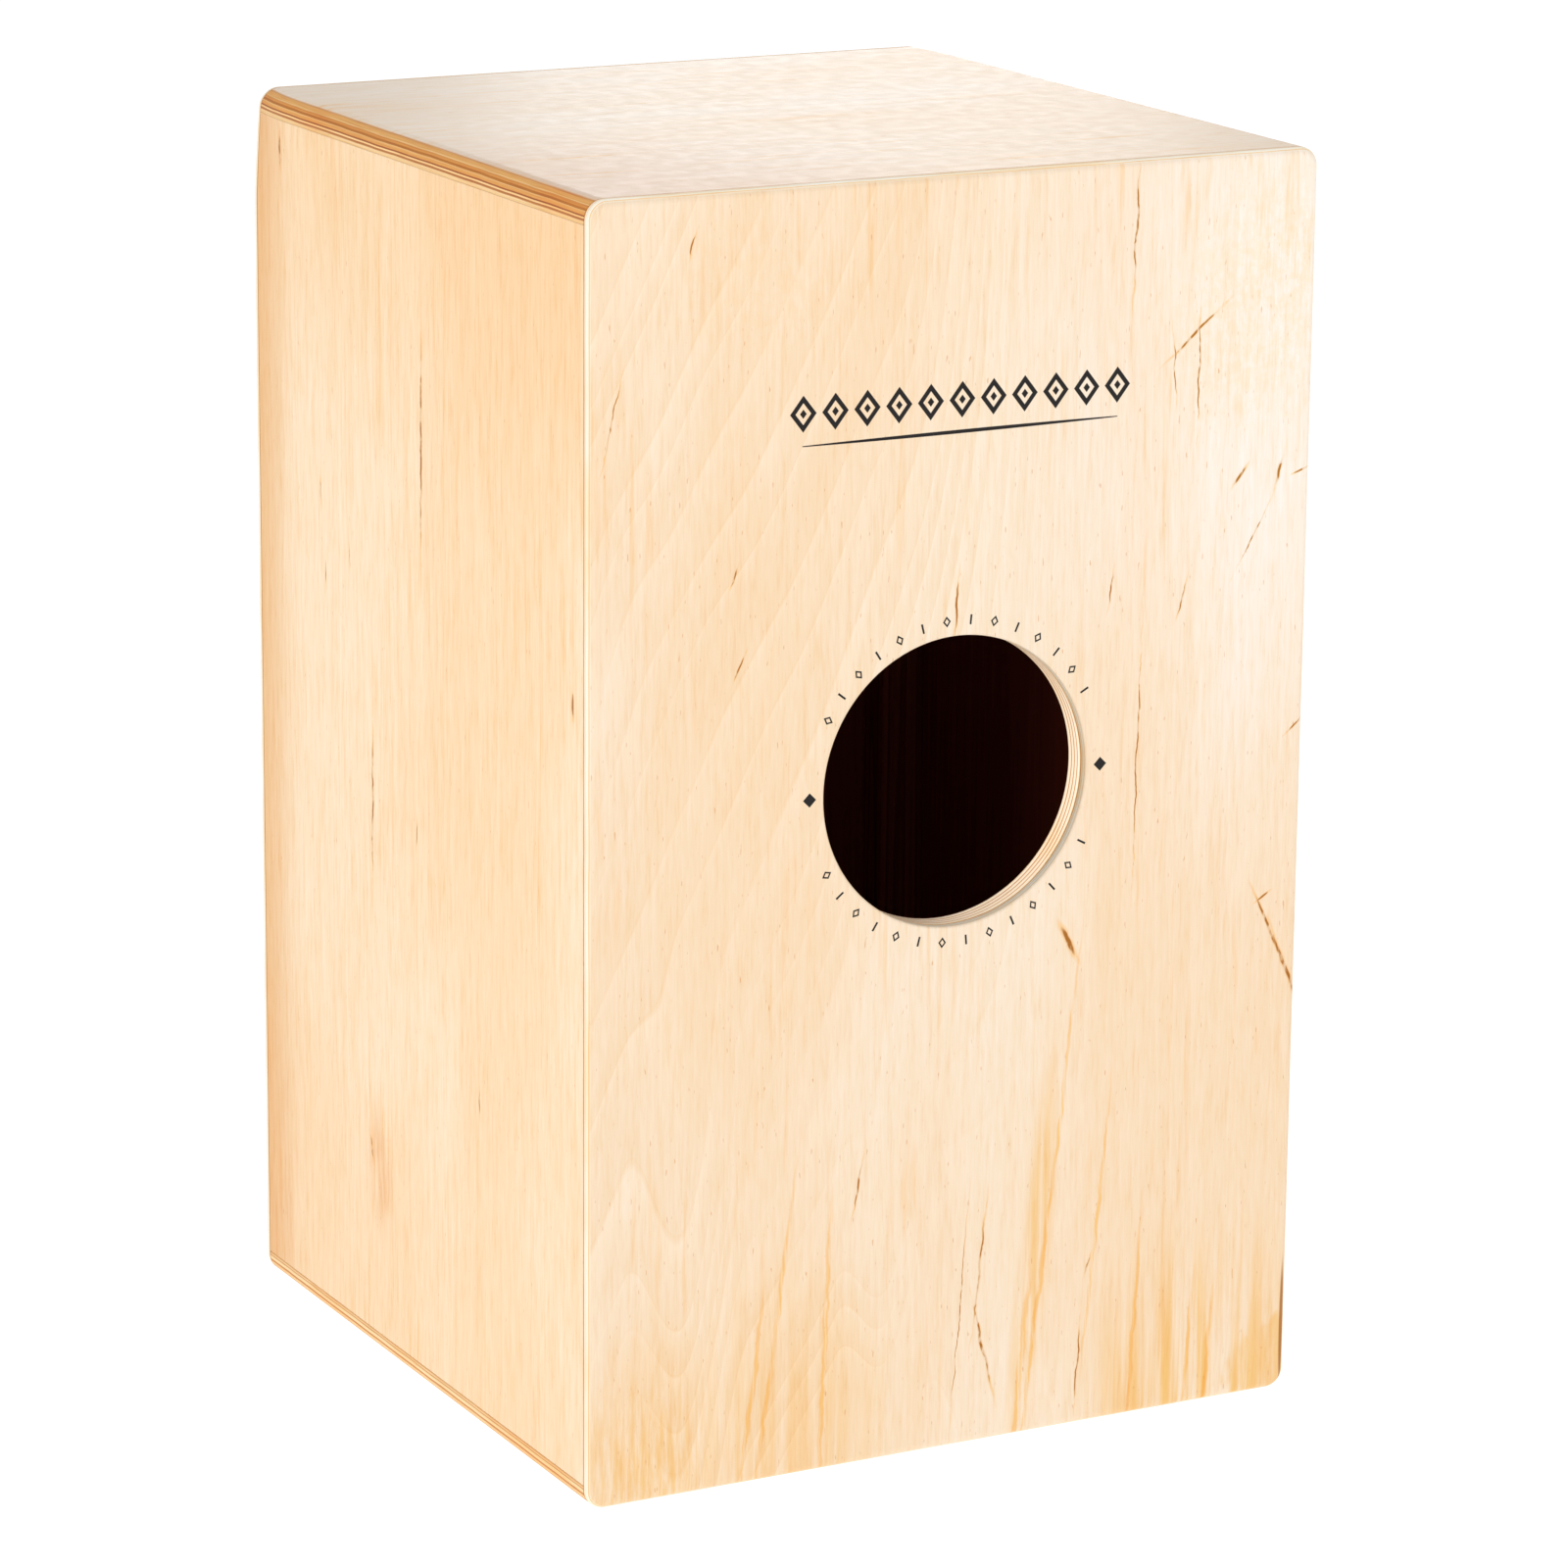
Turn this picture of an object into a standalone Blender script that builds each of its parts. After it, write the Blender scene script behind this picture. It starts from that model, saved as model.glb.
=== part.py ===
"""A cajon, or box drum: a birch plywood box with a thin front striking plate, a round sound hole in the
back, snare wires inside and four rubber feet. Metres, +Z up. The origin is under the middle of the box,
on the surface that the feet stand on. The front plate faces -Y and the back panel faces +Y."""

import math

import bmesh
import bpy
from mathutils import Matrix, Vector

# Box
WIDTH = 0.300
DEPTH = 0.300
BODY_HEIGHT = 0.485
FOOT_HEIGHT = 0.010
BOARD = 0.009
BACK_PANEL = 0.004
FRONT_PLATE = 0.003
GAP = 0.0003
CORNER_ROUND = 0.0075
BACK_EDGE_ROUND = 0.0030
PLATE_EDGE_ROUND = 0.0012
ARC_STEPS = 6
SHARP_ANGLE = 32
FLAT_END = 1e-6

# Sanded easing of the two front top corners
EASE = 0.003
EASE_HEIGHT = 0.045
EASE_REACH = 0.030
EASE_STEPS = 6

# Sound hole
HOLE_RADIUS = 0.055
HOLE_ABOVE_BODY_BASE = 0.2595
HOLE_EDGE_ROUND = 0.0010
HOLE_STEPS = 64
RING_THICK = 0.009
RING_OUTER_RADIUS = 0.078
RING_CHAMFER = 0.0015

# Battens inside the box
FRONT_BATTEN = 0.018
BACK_BATTEN = 0.010
BATTEN_CHAMFER = 0.003

# Snare rail and wires
RAIL_THICK = 0.015
RAIL_HEIGHT = 0.030
RAIL_BASE = 0.335
RAIL_CHAMFER = 0.002
RAIL_END_SPACE = 0.004
SNARE_OFFSET = 0.062
SNARE_WIRES = 10
SNARE_PITCH = 0.006
SNARE_WIRE_RADIUS = 0.0010
SNARE_WIRE_SIDES = 6
SNARE_STRIP = (0.066, 0.001, 0.014)
SNARE_WIRE_LENGTH = 0.096
SNARE_HOLE_SPAN = 0.036
SNARE_SCREW_DROP = 0.003
SNARE_PLATE_SPACE = 0.0006
SOLDER_HEIGHT_SHARE = 0.62
SOLDER_SINK = 0.0002

# Screws: head radius, shank radius, whole length
PLATE_SCREW = (0.0035, 0.0016, 0.0160)
RAIL_SCREW = (0.0035, 0.0018, 0.0260)
SNARE_SCREW = (0.0030, 0.0012, 0.0095)
FOOT_SCREW = (0.0035, 0.0016, 0.0110)
SCREW_SIDES = 12
SCREW_SPACE = 0.0002
HEAD_LAND = 0.0004
HEAD_SINK = 0.0001
PAN_HEAD_TALL = 0.0022
CROSS_ARM_SHARE = 0.58
CROSS_HALF_WIDTH_SHARE = 0.13
CROSS_DEPTH_SHARE = 0.42
CUTTER_OVERRUN = 0.002
PLATE_SCREW_INSET = 0.0185
PLATE_SCREWS_UP_A_SIDE = 4
PLATE_SCREWS_ACROSS_AN_END = 3
RAIL_SCREW_RISE = 0.008

# Feet
FOOT_TOP_RADIUS = 0.015
FOOT_BASE_RADIUS = 0.013
FOOT_INSET = 0.047
FOOT_RECESS_RADIUS = 0.0055
FOOT_RECESS = 0.005
FOOT_STEPS = 24
FOOT_EDGE_ROUND = 0.0012
FOOT_SCREW_HOLE = 0.010

BODY_BASE = FOOT_HEIGHT
BODY_TOP = FOOT_HEIGHT + BODY_HEIGHT
FRONT = -DEPTH / 2
BACK = DEPTH / 2
SHELL_FRONT = FRONT + FRONT_PLATE + GAP
SHELL_BACK = BACK - BACK_PANEL - GAP
INNER_SIDE = WIDTH / 2 - BOARD
INNER_TOP = BODY_TOP - BOARD
INNER_BASE = BODY_BASE + BOARD
HOLE_Z = BODY_BASE + HOLE_ABOVE_BODY_BASE
SIDES = (("left", -1), ("right", 1))

BIRCH = ("birch_plywood", (0.91, 0.76, 0.58), 0.42, 0.0)
BIRCH_PALE = ("birch_plywood_pale", (0.93, 0.80, 0.63), 0.42, 0.0)
SPRUCE = ("spruce_batten", (0.72, 0.52, 0.32), 0.60, 0.0)
SNARE_STEEL = ("snare_steel", (0.62, 0.62, 0.64), 0.28, 1.0)
BLACK_STEEL = ("blackened_steel", (0.03, 0.03, 0.032), 0.38, 1.0)
RUBBER = ("black_rubber", (0.018, 0.018, 0.019), 0.75, 0.0)


def clear_scene():
    for obj in list(bpy.data.objects):
        bpy.data.objects.remove(obj, do_unlink=True)


def material(kind):
    name, colour, roughness, metallic = kind
    found = bpy.data.materials.get(name)
    if found:
        return found
    made = bpy.data.materials.new(name)
    made.use_nodes = True
    shader = made.node_tree.nodes["Principled BSDF"]
    shader.inputs["Base Color"].default_value = (*colour, 1.0)
    shader.inputs["Roughness"].default_value = roughness
    shader.inputs["Metallic"].default_value = metallic
    return made


def add_object(name, mesh, parent=None):
    obj = bpy.data.objects.new(name, mesh)
    bpy.context.scene.collection.objects.link(obj)
    obj.parent = parent
    return obj


def mesh_from(name, bm, kind=None):
    """Turns a bmesh into a smooth-shaded mesh whose real corners stay sharp."""
    bmesh.ops.remove_doubles(bm, verts=bm.verts, dist=1e-7)
    bmesh.ops.recalc_face_normals(bm, faces=bm.faces)
    mesh = bpy.data.meshes.new(name)
    bm.to_mesh(mesh)
    bm.free()
    mesh.shade_smooth()
    mesh.set_sharp_from_angle(angle=math.radians(SHARP_ANGLE))
    if kind:
        mesh.materials.append(material(kind))
    return mesh


def hide_cutter(obj):
    obj.hide_render = True
    obj.display_type = "WIRE"


def join_rings(bm, rings, closed=False):
    """Walls between rings of points, with a face over each end, or with the end joined to the start."""
    loops = [[bm.verts.new(point) for point in ring] for ring in rings]
    pairs = list(zip(loops, loops[1:]))
    if closed:
        pairs.append((loops[-1], loops[0]))
    for low, high in pairs:
        for i in range(len(low)):
            j = (i + 1) % len(low)
            bm.faces.new((low[i], low[j], high[j], high[i]))
    if not closed:
        bm.faces.new(loops[0])
        bm.faces.new(loops[-1])


def circle_points(radius, z, steps):
    turns = [2 * math.pi * i / steps for i in range(steps)]
    return [(radius * math.cos(a), radius * math.sin(a), z) for a in turns]


def turned_ring(profile, steps):
    """A ring turned about Z from the (radius, z) points round its cross-section."""
    bm = bmesh.new()
    join_rings(bm, [circle_points(radius, z, steps) for radius, z in profile], closed=True)
    return bm


def turned(profile, steps):
    """A solid turned about Z from (radius, z) points, the first and last of them on the axis."""
    bm = bmesh.new()
    loops = []
    for radius, z in profile[1:-1]:
        loops.append([bm.verts.new(point) for point in circle_points(radius, z, steps)])
    for low, high in zip(loops, loops[1:]):
        for i in range(steps):
            j = (i + 1) % steps
            bm.faces.new((low[i], low[j], high[j], high[i]))
    for loop, (_, z) in ((loops[0], profile[0]), (loops[-1], profile[-1])):
        if abs(loop[0].co.z - z) < FLAT_END:
            bm.faces.new(loop)
            continue
        tip = bm.verts.new((0, 0, z))
        for i in range(steps):
            bm.faces.new((loop[i], loop[(i + 1) % steps], tip))
    return bm


def cut(obj, cutter):
    modifier = obj.modifiers.new("cut_" + cutter.name, "BOOLEAN")
    modifier.operation = "DIFFERENCE"
    modifier.solver = "EXACT"
    modifier.object = cutter


def arc(centre, radius, start, end, steps=ARC_STEPS):
    """Points on an arc in a plane, from start to end in quarter turns."""
    points = []
    for i in range(steps + 1):
        a = (start + (end - start) * i / steps) * math.pi / 2
        points.append((centre[0] + radius * math.cos(a), centre[1] + radius * math.sin(a)))
    return points


def ease(y, z):
    """How far the sanding takes a side surface in, at this depth and height."""
    rise = max(0.0, 1 - (BODY_TOP - z) / EASE_HEIGHT)
    reach = max(0.0, 1 - (y - FRONT) / EASE_REACH)
    return EASE * rise**1.3 * reach**1.5


def eased(x, y, z):
    """A point near a side of the box, moved in by the sanding."""
    if abs(x) < WIDTH / 2 - 2 * CORNER_ROUND:
        return (x, y, z)
    return (x - math.copysign(ease(y, z), x), y, z)


def box_outline(inset):
    """The box seen from behind: a rectangle with round corners, inset all round, as (x, z) points."""
    half = WIDTH / 2 - inset
    low = BODY_BASE + inset
    high = BODY_TOP - inset
    r = CORNER_ROUND - inset
    side_heights = [BODY_TOP - EASE_HEIGHT * k / EASE_STEPS for k in range(1, EASE_STEPS + 1)]
    side_heights = [z for z in side_heights if z < high - r - 0.001]
    points = arc((half - r, high - r), r, 1, 0)
    points += [(half, z) for z in side_heights]
    points += arc((half - r, low + r), r, 0, -1)
    points += arc((-half + r, low + r), r, -1, -2)
    points += [(-half, z) for z in reversed(side_heights)]
    points += arc((-half + r, high - r), r, 2, 1)
    return points


def depth_stations():
    """Depths at which the shell has a ring of points: close together where the corners are eased."""
    eased_part = [FRONT + EASE_REACH * k / EASE_STEPS for k in range(1, EASE_STEPS + 1)]
    return [SHELL_FRONT] + eased_part + [SHELL_BACK]


def end_board_section(upper):
    """The cross-section of the top or bottom board: its two outer long edges are rounded."""
    half = WIDTH / 2
    r = CORNER_ROUND
    points = [(-half, 0.0), (half, 0.0)]
    points += arc((half - r, BOARD - r), r, 0, 1)
    points += arc((-half + r, BOARD - r), r, 1, 2)
    if upper:
        return [(x, INNER_TOP + z) for x, z in points]
    return [(x, INNER_BASE - z) for x, z in points]


def make_end_board(name, upper, root):
    section = end_board_section(upper)
    bm = bmesh.new()
    join_rings(bm, [[eased(x, y, z) for x, z in section] for y in depth_stations()])
    return add_object(name, mesh_from(name, bm, BIRCH), root)


def make_side_board(name, side, root):
    depths = depth_stations()
    low = INNER_BASE + GAP
    high = INNER_TOP - GAP
    heights = [BODY_TOP - EASE_HEIGHT * k / EASE_STEPS for k in range(EASE_STEPS, 0, -1)]
    heights = [low] + [z for z in heights if z < high - 0.001] + [high]
    rings = []
    for z in heights:
        ring = [eased(side * WIDTH / 2, y, z) for y in depths]
        ring += [(side * INNER_SIDE, SHELL_BACK, z), (side * INNER_SIDE, SHELL_FRONT, z)]
        rings.append(ring)
    bm = bmesh.new()
    join_rings(bm, rings)
    return add_object(name, mesh_from(name, bm, BIRCH), root)


def panel_rings(faces):
    """Rings through a flat panel, from (depth, inset) pairs."""
    return [[eased(x, y, z) for x, z in box_outline(inset)] for y, inset in faces]


def make_back_panel(root):
    inner = BACK - BACK_PANEL
    r = BACK_EDGE_ROUND
    faces = [(inner, 0.0)]
    for along, away in arc((BACK - r, 0.0), r, 0, 1, steps=5)[::-1]:
        faces.append((along, r - away))
    bm = bmesh.new()
    join_rings(bm, panel_rings(faces))
    panel = add_object("back_panel", mesh_from("back_panel", bm, BIRCH_PALE), root)
    cut(panel, hole_cutter(root))
    return panel


def hole_cutter(root):
    """A plug the size of the sound hole, flared where it meets the outer face."""
    r = HOLE_EDGE_ROUND
    flare = arc((HOLE_RADIUS + r, BACK - r), r, 2, 1, steps=3)
    inside = BACK - BACK_PANEL - CUTTER_OVERRUN
    outside = BACK + CUTTER_OVERRUN
    profile = [(0, inside), (HOLE_RADIUS, inside)] + flare
    profile += [(HOLE_RADIUS + r, outside), (0, outside)]
    bm = turned(profile, HOLE_STEPS)
    # The profile is turned about Z, then laid along Y through the middle of the hole.
    bmesh.ops.transform(bm, matrix=Matrix.Rotation(math.radians(-90), 4, "X"), verts=bm.verts)
    bmesh.ops.translate(bm, vec=(0, 0, HOLE_Z), verts=bm.verts)
    cutter = add_object("sound_hole_cutter", mesh_from("sound_hole_cutter", bm), root)
    hide_cutter(cutter)
    return cutter


def make_sound_hole_ring(root):
    """A plywood ring glued behind the back panel round the sound hole."""
    outer = BACK - BACK_PANEL - GAP
    inner = outer - RING_THICK
    c = RING_CHAMFER
    profile = [(HOLE_RADIUS, outer), (HOLE_RADIUS, inner), (RING_OUTER_RADIUS - c, inner)]
    profile += [(RING_OUTER_RADIUS, inner + c), (RING_OUTER_RADIUS, outer)]
    bm = turned_ring(profile, HOLE_STEPS)
    bmesh.ops.transform(bm, matrix=Matrix.Rotation(math.radians(-90), 4, "X"), verts=bm.verts)
    bmesh.ops.translate(bm, vec=(0, 0, HOLE_Z), verts=bm.verts)
    return add_object("sound_hole_ring", mesh_from("sound_hole_ring", bm, BIRCH), root)


def plate_screw_places():
    """The front plate's screws as (name, x, z): a row up each side and a row along each end."""
    across = WIDTH / 2 - PLATE_SCREW_INSET
    low = BODY_BASE + PLATE_SCREW_INSET
    high = BODY_TOP - PLATE_SCREW_INSET
    places = []
    for side_name, side in SIDES:
        for i in range(PLATE_SCREWS_UP_A_SIDE):
            z = low + (high - low) * (i + 0.5) / PLATE_SCREWS_UP_A_SIDE
            places.append((f"plate_screw_{side_name}_{i + 1}", side * across, z))
    for end_name, z in (("bottom", low), ("top", high)):
        for i in range(PLATE_SCREWS_ACROSS_AN_END):
            share = i / (PLATE_SCREWS_ACROSS_AN_END - 1)
            places.append((f"plate_screw_{end_name}_{i + 1}", across * (2 * share - 1), z))
    return places


def screw_profile(size, tip):
    """Half of a countersunk screw from the side, its head's flat face at zero and its tip down."""
    head, shank, length = size
    neck = -HEAD_LAND - (head - shank)
    profile = [(0, 0.0), (head, 0.0), (head, -HEAD_LAND), (shank, neck)]
    return profile + [(shank, -length + tip), (0, -length)]


def screw_mesh(name, size, kind):
    """A countersunk wood screw pointing down, with a cross recess in its head."""
    head, shank, _ = size
    solid = turned(screw_profile(size, 2 * shank), SCREW_SIDES)
    blank = add_object(name + "_blank", mesh_from(name + "_blank", solid))
    hide_cutter(blank)
    arm = head * CROSS_ARM_SHARE
    half = head * CROSS_HALF_WIDTH_SHARE
    outline = []
    for c, s in ((1, 0), (0, 1), (-1, 0), (0, -1)):
        outline += [(x * c - y * s, x * s + y * c) for x, y in ((arm, half), (half, half), (half, arm))]
    bm = bmesh.new()
    ends = (-head * CROSS_DEPTH_SHARE, CUTTER_OVERRUN)
    join_rings(bm, [[(x, y, z) for x, y in outline] for z in ends])
    cross = add_object(name + "_cross", mesh_from(name + "_cross", bm))
    hide_cutter(cross)
    cut(blank, cross)
    graph = bpy.context.evaluated_depsgraph_get()
    made = bpy.data.meshes.new_from_object(blank.evaluated_get(graph), depsgraph=graph)
    made.name = name
    made.materials.clear()
    made.materials.append(material(kind))
    bpy.data.objects.remove(blank, do_unlink=True)
    bpy.data.objects.remove(cross, do_unlink=True)
    return made


def add_screw(name, mesh, place, direction, root):
    """Stands a screw with its head at this place and its tip along this direction."""
    obj = add_object(name, mesh, root)
    obj.rotation_mode = "QUATERNION"
    obj.rotation_quaternion = Vector((0, 0, -1)).rotation_difference(Vector(direction))
    obj.location = place


def screw_cutter(name, size, places, direction, root):
    """The holes for screws of one size, as one cutter of separate plugs a little wider than the screws."""
    head, shank, length = size
    s = SCREW_SPACE
    land = -HEAD_LAND - s / 2
    profile = [(0, CUTTER_OVERRUN), (head + s, CUTTER_OVERRUN), (head + s, land)]
    profile += [(shank + s, land - (head - shank)), (shank + s, -length - s), (0, -length - s)]
    turn = Vector((0, 0, -1)).rotation_difference(Vector(direction)).to_matrix().to_4x4()
    bm = bmesh.new()
    for place in places:
        plug = turned(profile, SCREW_SIDES)
        bmesh.ops.transform(plug, matrix=Matrix.Translation(place) @ turn, verts=plug.verts)
        mesh = bpy.data.meshes.new("plug")
        plug.to_mesh(mesh)
        plug.free()
        bm.from_mesh(mesh)
        bpy.data.meshes.remove(mesh)
    cutter = add_object(name, mesh_from(name, bm), root)
    hide_cutter(cutter)
    return cutter


def make_front_plate(root):
    inner = FRONT + FRONT_PLATE
    r = PLATE_EDGE_ROUND
    faces = [(inner, 0.0)]
    for along, away in arc((FRONT + r, 0.0), -r, 0, 1, steps=3)[::-1]:
        faces.append((along, r + away))
    bm = bmesh.new()
    join_rings(bm, panel_rings(faces))
    return add_object("front_plate", mesh_from("front_plate", bm, BIRCH_PALE), root)


def make_batten(name, low, high, edge, root):
    """A square strip along X or Z from corner to corner, with the edge that faces the cavity chamfered."""
    low = Vector(low)
    high = Vector(high)
    long_axis = max(range(3), key=lambda axis: high[axis] - low[axis])
    across = [axis for axis in range(3) if axis != long_axis]
    bm = bmesh.new()
    rings = []
    for end in (low[long_axis], high[long_axis]):
        ring = []
        for a, b in ((0, 0), (1, 0), (1, 1), (0, 1)):
            corner = (a, b)
            at = [high[axis] if pick else low[axis] for axis, pick in zip(across, corner)]
            if corner != edge:
                ring.append(batten_point(long_axis, end, across, at))
                continue
            toward = [-1 if pick else 1 for pick in corner]
            first = [at[0], at[1] + toward[1] * BATTEN_CHAMFER]
            second = [at[0] + toward[0] * BATTEN_CHAMFER, at[1]]
            pair = [first, second] if corner in ((0, 0), (1, 1)) else [second, first]
            ring += [batten_point(long_axis, end, across, p) for p in pair]
        rings.append(ring)
    join_rings(bm, rings)
    return add_object(name, mesh_from(name, bm, SPRUCE), root)


def batten_point(long_axis, along, across, at):
    point = [0.0, 0.0, 0.0]
    point[long_axis] = along
    point[across[0]] = at[0]
    point[across[1]] = at[1]
    return point


def make_battens(prefix, width, near, far, cavity_side, root):
    """A frame of four battens between two depths: the uprights stand between the cross battens."""
    side = INNER_SIDE - GAP
    top = INNER_TOP - GAP
    base = INNER_BASE + GAP
    made = []
    for end_name, low, high, edge in (
        ("bottom", base, base + width, 1),
        ("top", top - width, top, 0),
    ):
        name = f"{prefix}_batten_{end_name}"
        corners = (-side, near, low), (side, far, high)
        made.append(make_batten(name, *corners, (cavity_side, edge), root))
    for side_name, sign in SIDES:
        x = sorted((sign * side, sign * (side - width)))
        low = (x[0], near, base + width + GAP)
        high = (x[1], far, top - width - GAP)
        edge = (0 if sign > 0 else 1, cavity_side)
        made.append(make_batten(f"{prefix}_batten_{side_name}", low, high, edge, root))
    return made


def make_snare_rail(root):
    """The crossbar behind the front battens that carries the snare wires."""
    half = INNER_SIDE - RAIL_END_SPACE
    bm = bmesh.new()
    c = RAIL_CHAMFER
    y0 = SHELL_FRONT + FRONT_BATTEN + GAP
    y1 = y0 + RAIL_THICK
    z0 = RAIL_BASE
    z1 = RAIL_BASE + RAIL_HEIGHT
    section = [(y0, z0), (y1 - c, z0), (y1, z0 + c), (y1, z1 - c), (y1 - c, z1), (y0, z1)]
    join_rings(bm, [[(x, y, z) for y, z in section] for x in (-half, half)])
    return add_object("snare_rail", mesh_from("snare_rail", bm, SPRUCE), root)


def rail_screw_places():
    x = INNER_SIDE - FRONT_BATTEN / 2
    y = SHELL_FRONT + FRONT_BATTEN + GAP + RAIL_THICK
    middle = RAIL_BASE + RAIL_HEIGHT / 2
    places = []
    for side_name, side in SIDES:
        for end_name, dz in (("lower", -RAIL_SCREW_RISE), ("upper", RAIL_SCREW_RISE)):
            places.append((f"rail_screw_{side_name}_{end_name}", (side * x, y, middle + dz)))
    return places


def snare_strip_front():
    """The depth of the snare strips' front faces: they lie on the front face of the rail."""
    return SHELL_FRONT + FRONT_BATTEN - SNARE_STRIP[1]


def make_snare_wires(name, centre_x, root):
    """Ten wires soldered to a steel strip. They lean forward and rest just behind the front plate."""
    wide, thick, tall = SNARE_STRIP
    y0 = snare_strip_front()
    z0 = RAIL_BASE + (RAIL_HEIGHT - tall) / 2
    bm = bmesh.new()
    corners = [(-wide / 2, y0), (wide / 2, y0), (wide / 2, y0 + thick), (-wide / 2, y0 + thick)]
    join_rings(bm, [[(centre_x + x, y, z) for x, y in corners] for z in (z0, z0 + tall)])
    strip = add_object(name, mesh_from(name, bm, SNARE_STEEL), root)
    foot = Vector((0, y0 + SOLDER_SINK, z0 + tall * SOLDER_HEIGHT_SHARE))
    reach = FRONT + FRONT_PLATE + SNARE_PLATE_SPACE + SNARE_WIRE_RADIUS
    rise = math.sqrt(SNARE_WIRE_LENGTH**2 - (foot.y - reach) ** 2)
    tip = Vector((0, reach, foot.z + rise))
    along = (tip - foot).normalized()
    side = Vector((1, 0, 0))
    up = along.cross(side)
    outline = []
    for k in range(SNARE_WIRE_SIDES):
        a = 2 * math.pi * (k + 0.5) / SNARE_WIRE_SIDES
        outline.append(SNARE_WIRE_RADIUS * (math.cos(a) * side + math.sin(a) * up))
    bm = bmesh.new()
    for i in range(SNARE_WIRES):
        x = centre_x + SNARE_PITCH * (i - (SNARE_WIRES - 1) / 2)
        middle = Vector((x, 0, 0))
        join_rings(bm, [[end + middle + out for out in outline] for end in (foot, tip)])
    wires = add_object(name + "_strands", mesh_from(name + "_strands", bm), root)
    hide_cutter(wires)
    union = strip.modifiers.new("soldered_wires", "BOOLEAN")
    union.operation = "UNION"
    union.solver = "EXACT"
    union.object = wires
    return strip


def snare_screw_places():
    y = snare_strip_front()
    z = RAIL_BASE + RAIL_HEIGHT / 2 - SNARE_SCREW_DROP
    places = []
    for side_name, side in SIDES:
        for order, out in (("outer", 1), ("inner", -1)):
            x = side * (SNARE_OFFSET + out * SNARE_HOLE_SPAN / 2)
            places.append((f"snare_screw_{side_name}_{order}", (x, y, z)))
    return places


def foot_places():
    x = WIDTH / 2 - FOOT_INSET
    y = DEPTH / 2 - FOOT_INSET
    places = []
    for end_name, end in (("front", -1), ("back", 1)):
        for side_name, side in SIDES:
            places.append((f"{end_name}_{side_name}", side * x, end * y))
    return places


def foot_mesh():
    """A round rubber foot with a recess for its screw, its base at zero."""
    hole = FOOT_SCREW[1] + SCREW_SPACE
    high = FOOT_HEIGHT - GAP
    r = FOOT_EDGE_ROUND
    profile = [(hole, FOOT_RECESS), (FOOT_RECESS_RADIUS, FOOT_RECESS), (FOOT_RECESS_RADIUS, 0.0)]
    profile += arc((FOOT_BASE_RADIUS - r, r), r, -1, 0, steps=3)
    profile += [(FOOT_TOP_RADIUS, high), (hole, high)]
    return mesh_from("rubber_foot", turned_ring(profile, FOOT_STEPS), RUBBER)


def pan_screw_mesh(name, size, kind):
    """A round-headed screw pointing up, with its head's bearing face at zero."""
    head, shank, length = size
    dome = [(head * wide, -PAN_HEAD_TALL * tall) for wide, tall in ((0, 1), (0.55, 0.92), (0.9, 0.5))]
    profile = dome + [(head, 0.0), (shank, 0.0), (shank, length - 2 * shank), (0, length)]
    return mesh_from(name, turned(profile, SCREW_SIDES), kind)


def make_feet(bottom_board, root):
    rubber = foot_mesh()
    screw = pan_screw_mesh("foot_screw", FOOT_SCREW, BLACK_STEEL)
    bearing = FOOT_RECESS - SCREW_SPACE
    plugs = bmesh.new()
    for place, x, y in foot_places():
        foot = add_object("foot_" + place, rubber, root)
        foot.location = (x, y, 0)
        bolt = add_object("foot_screw_" + place, screw, root)
        bolt.location = (x, y, bearing)
        middle = bearing + FOOT_SCREW[2] + SCREW_SPACE - FOOT_SCREW_HOLE / 2
        bmesh.ops.create_cone(
            plugs,
            cap_ends=True,
            segments=SCREW_SIDES,
            radius1=FOOT_SCREW[1] + SCREW_SPACE,
            radius2=FOOT_SCREW[1] + SCREW_SPACE,
            depth=FOOT_SCREW_HOLE,
            matrix=Matrix.Translation((x, y, middle)),
        )
    cutter = add_object("foot_screw_holes", mesh_from("foot_screw_holes", plugs), root)
    hide_cutter(cutter)
    cut(bottom_board, cutter)


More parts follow.
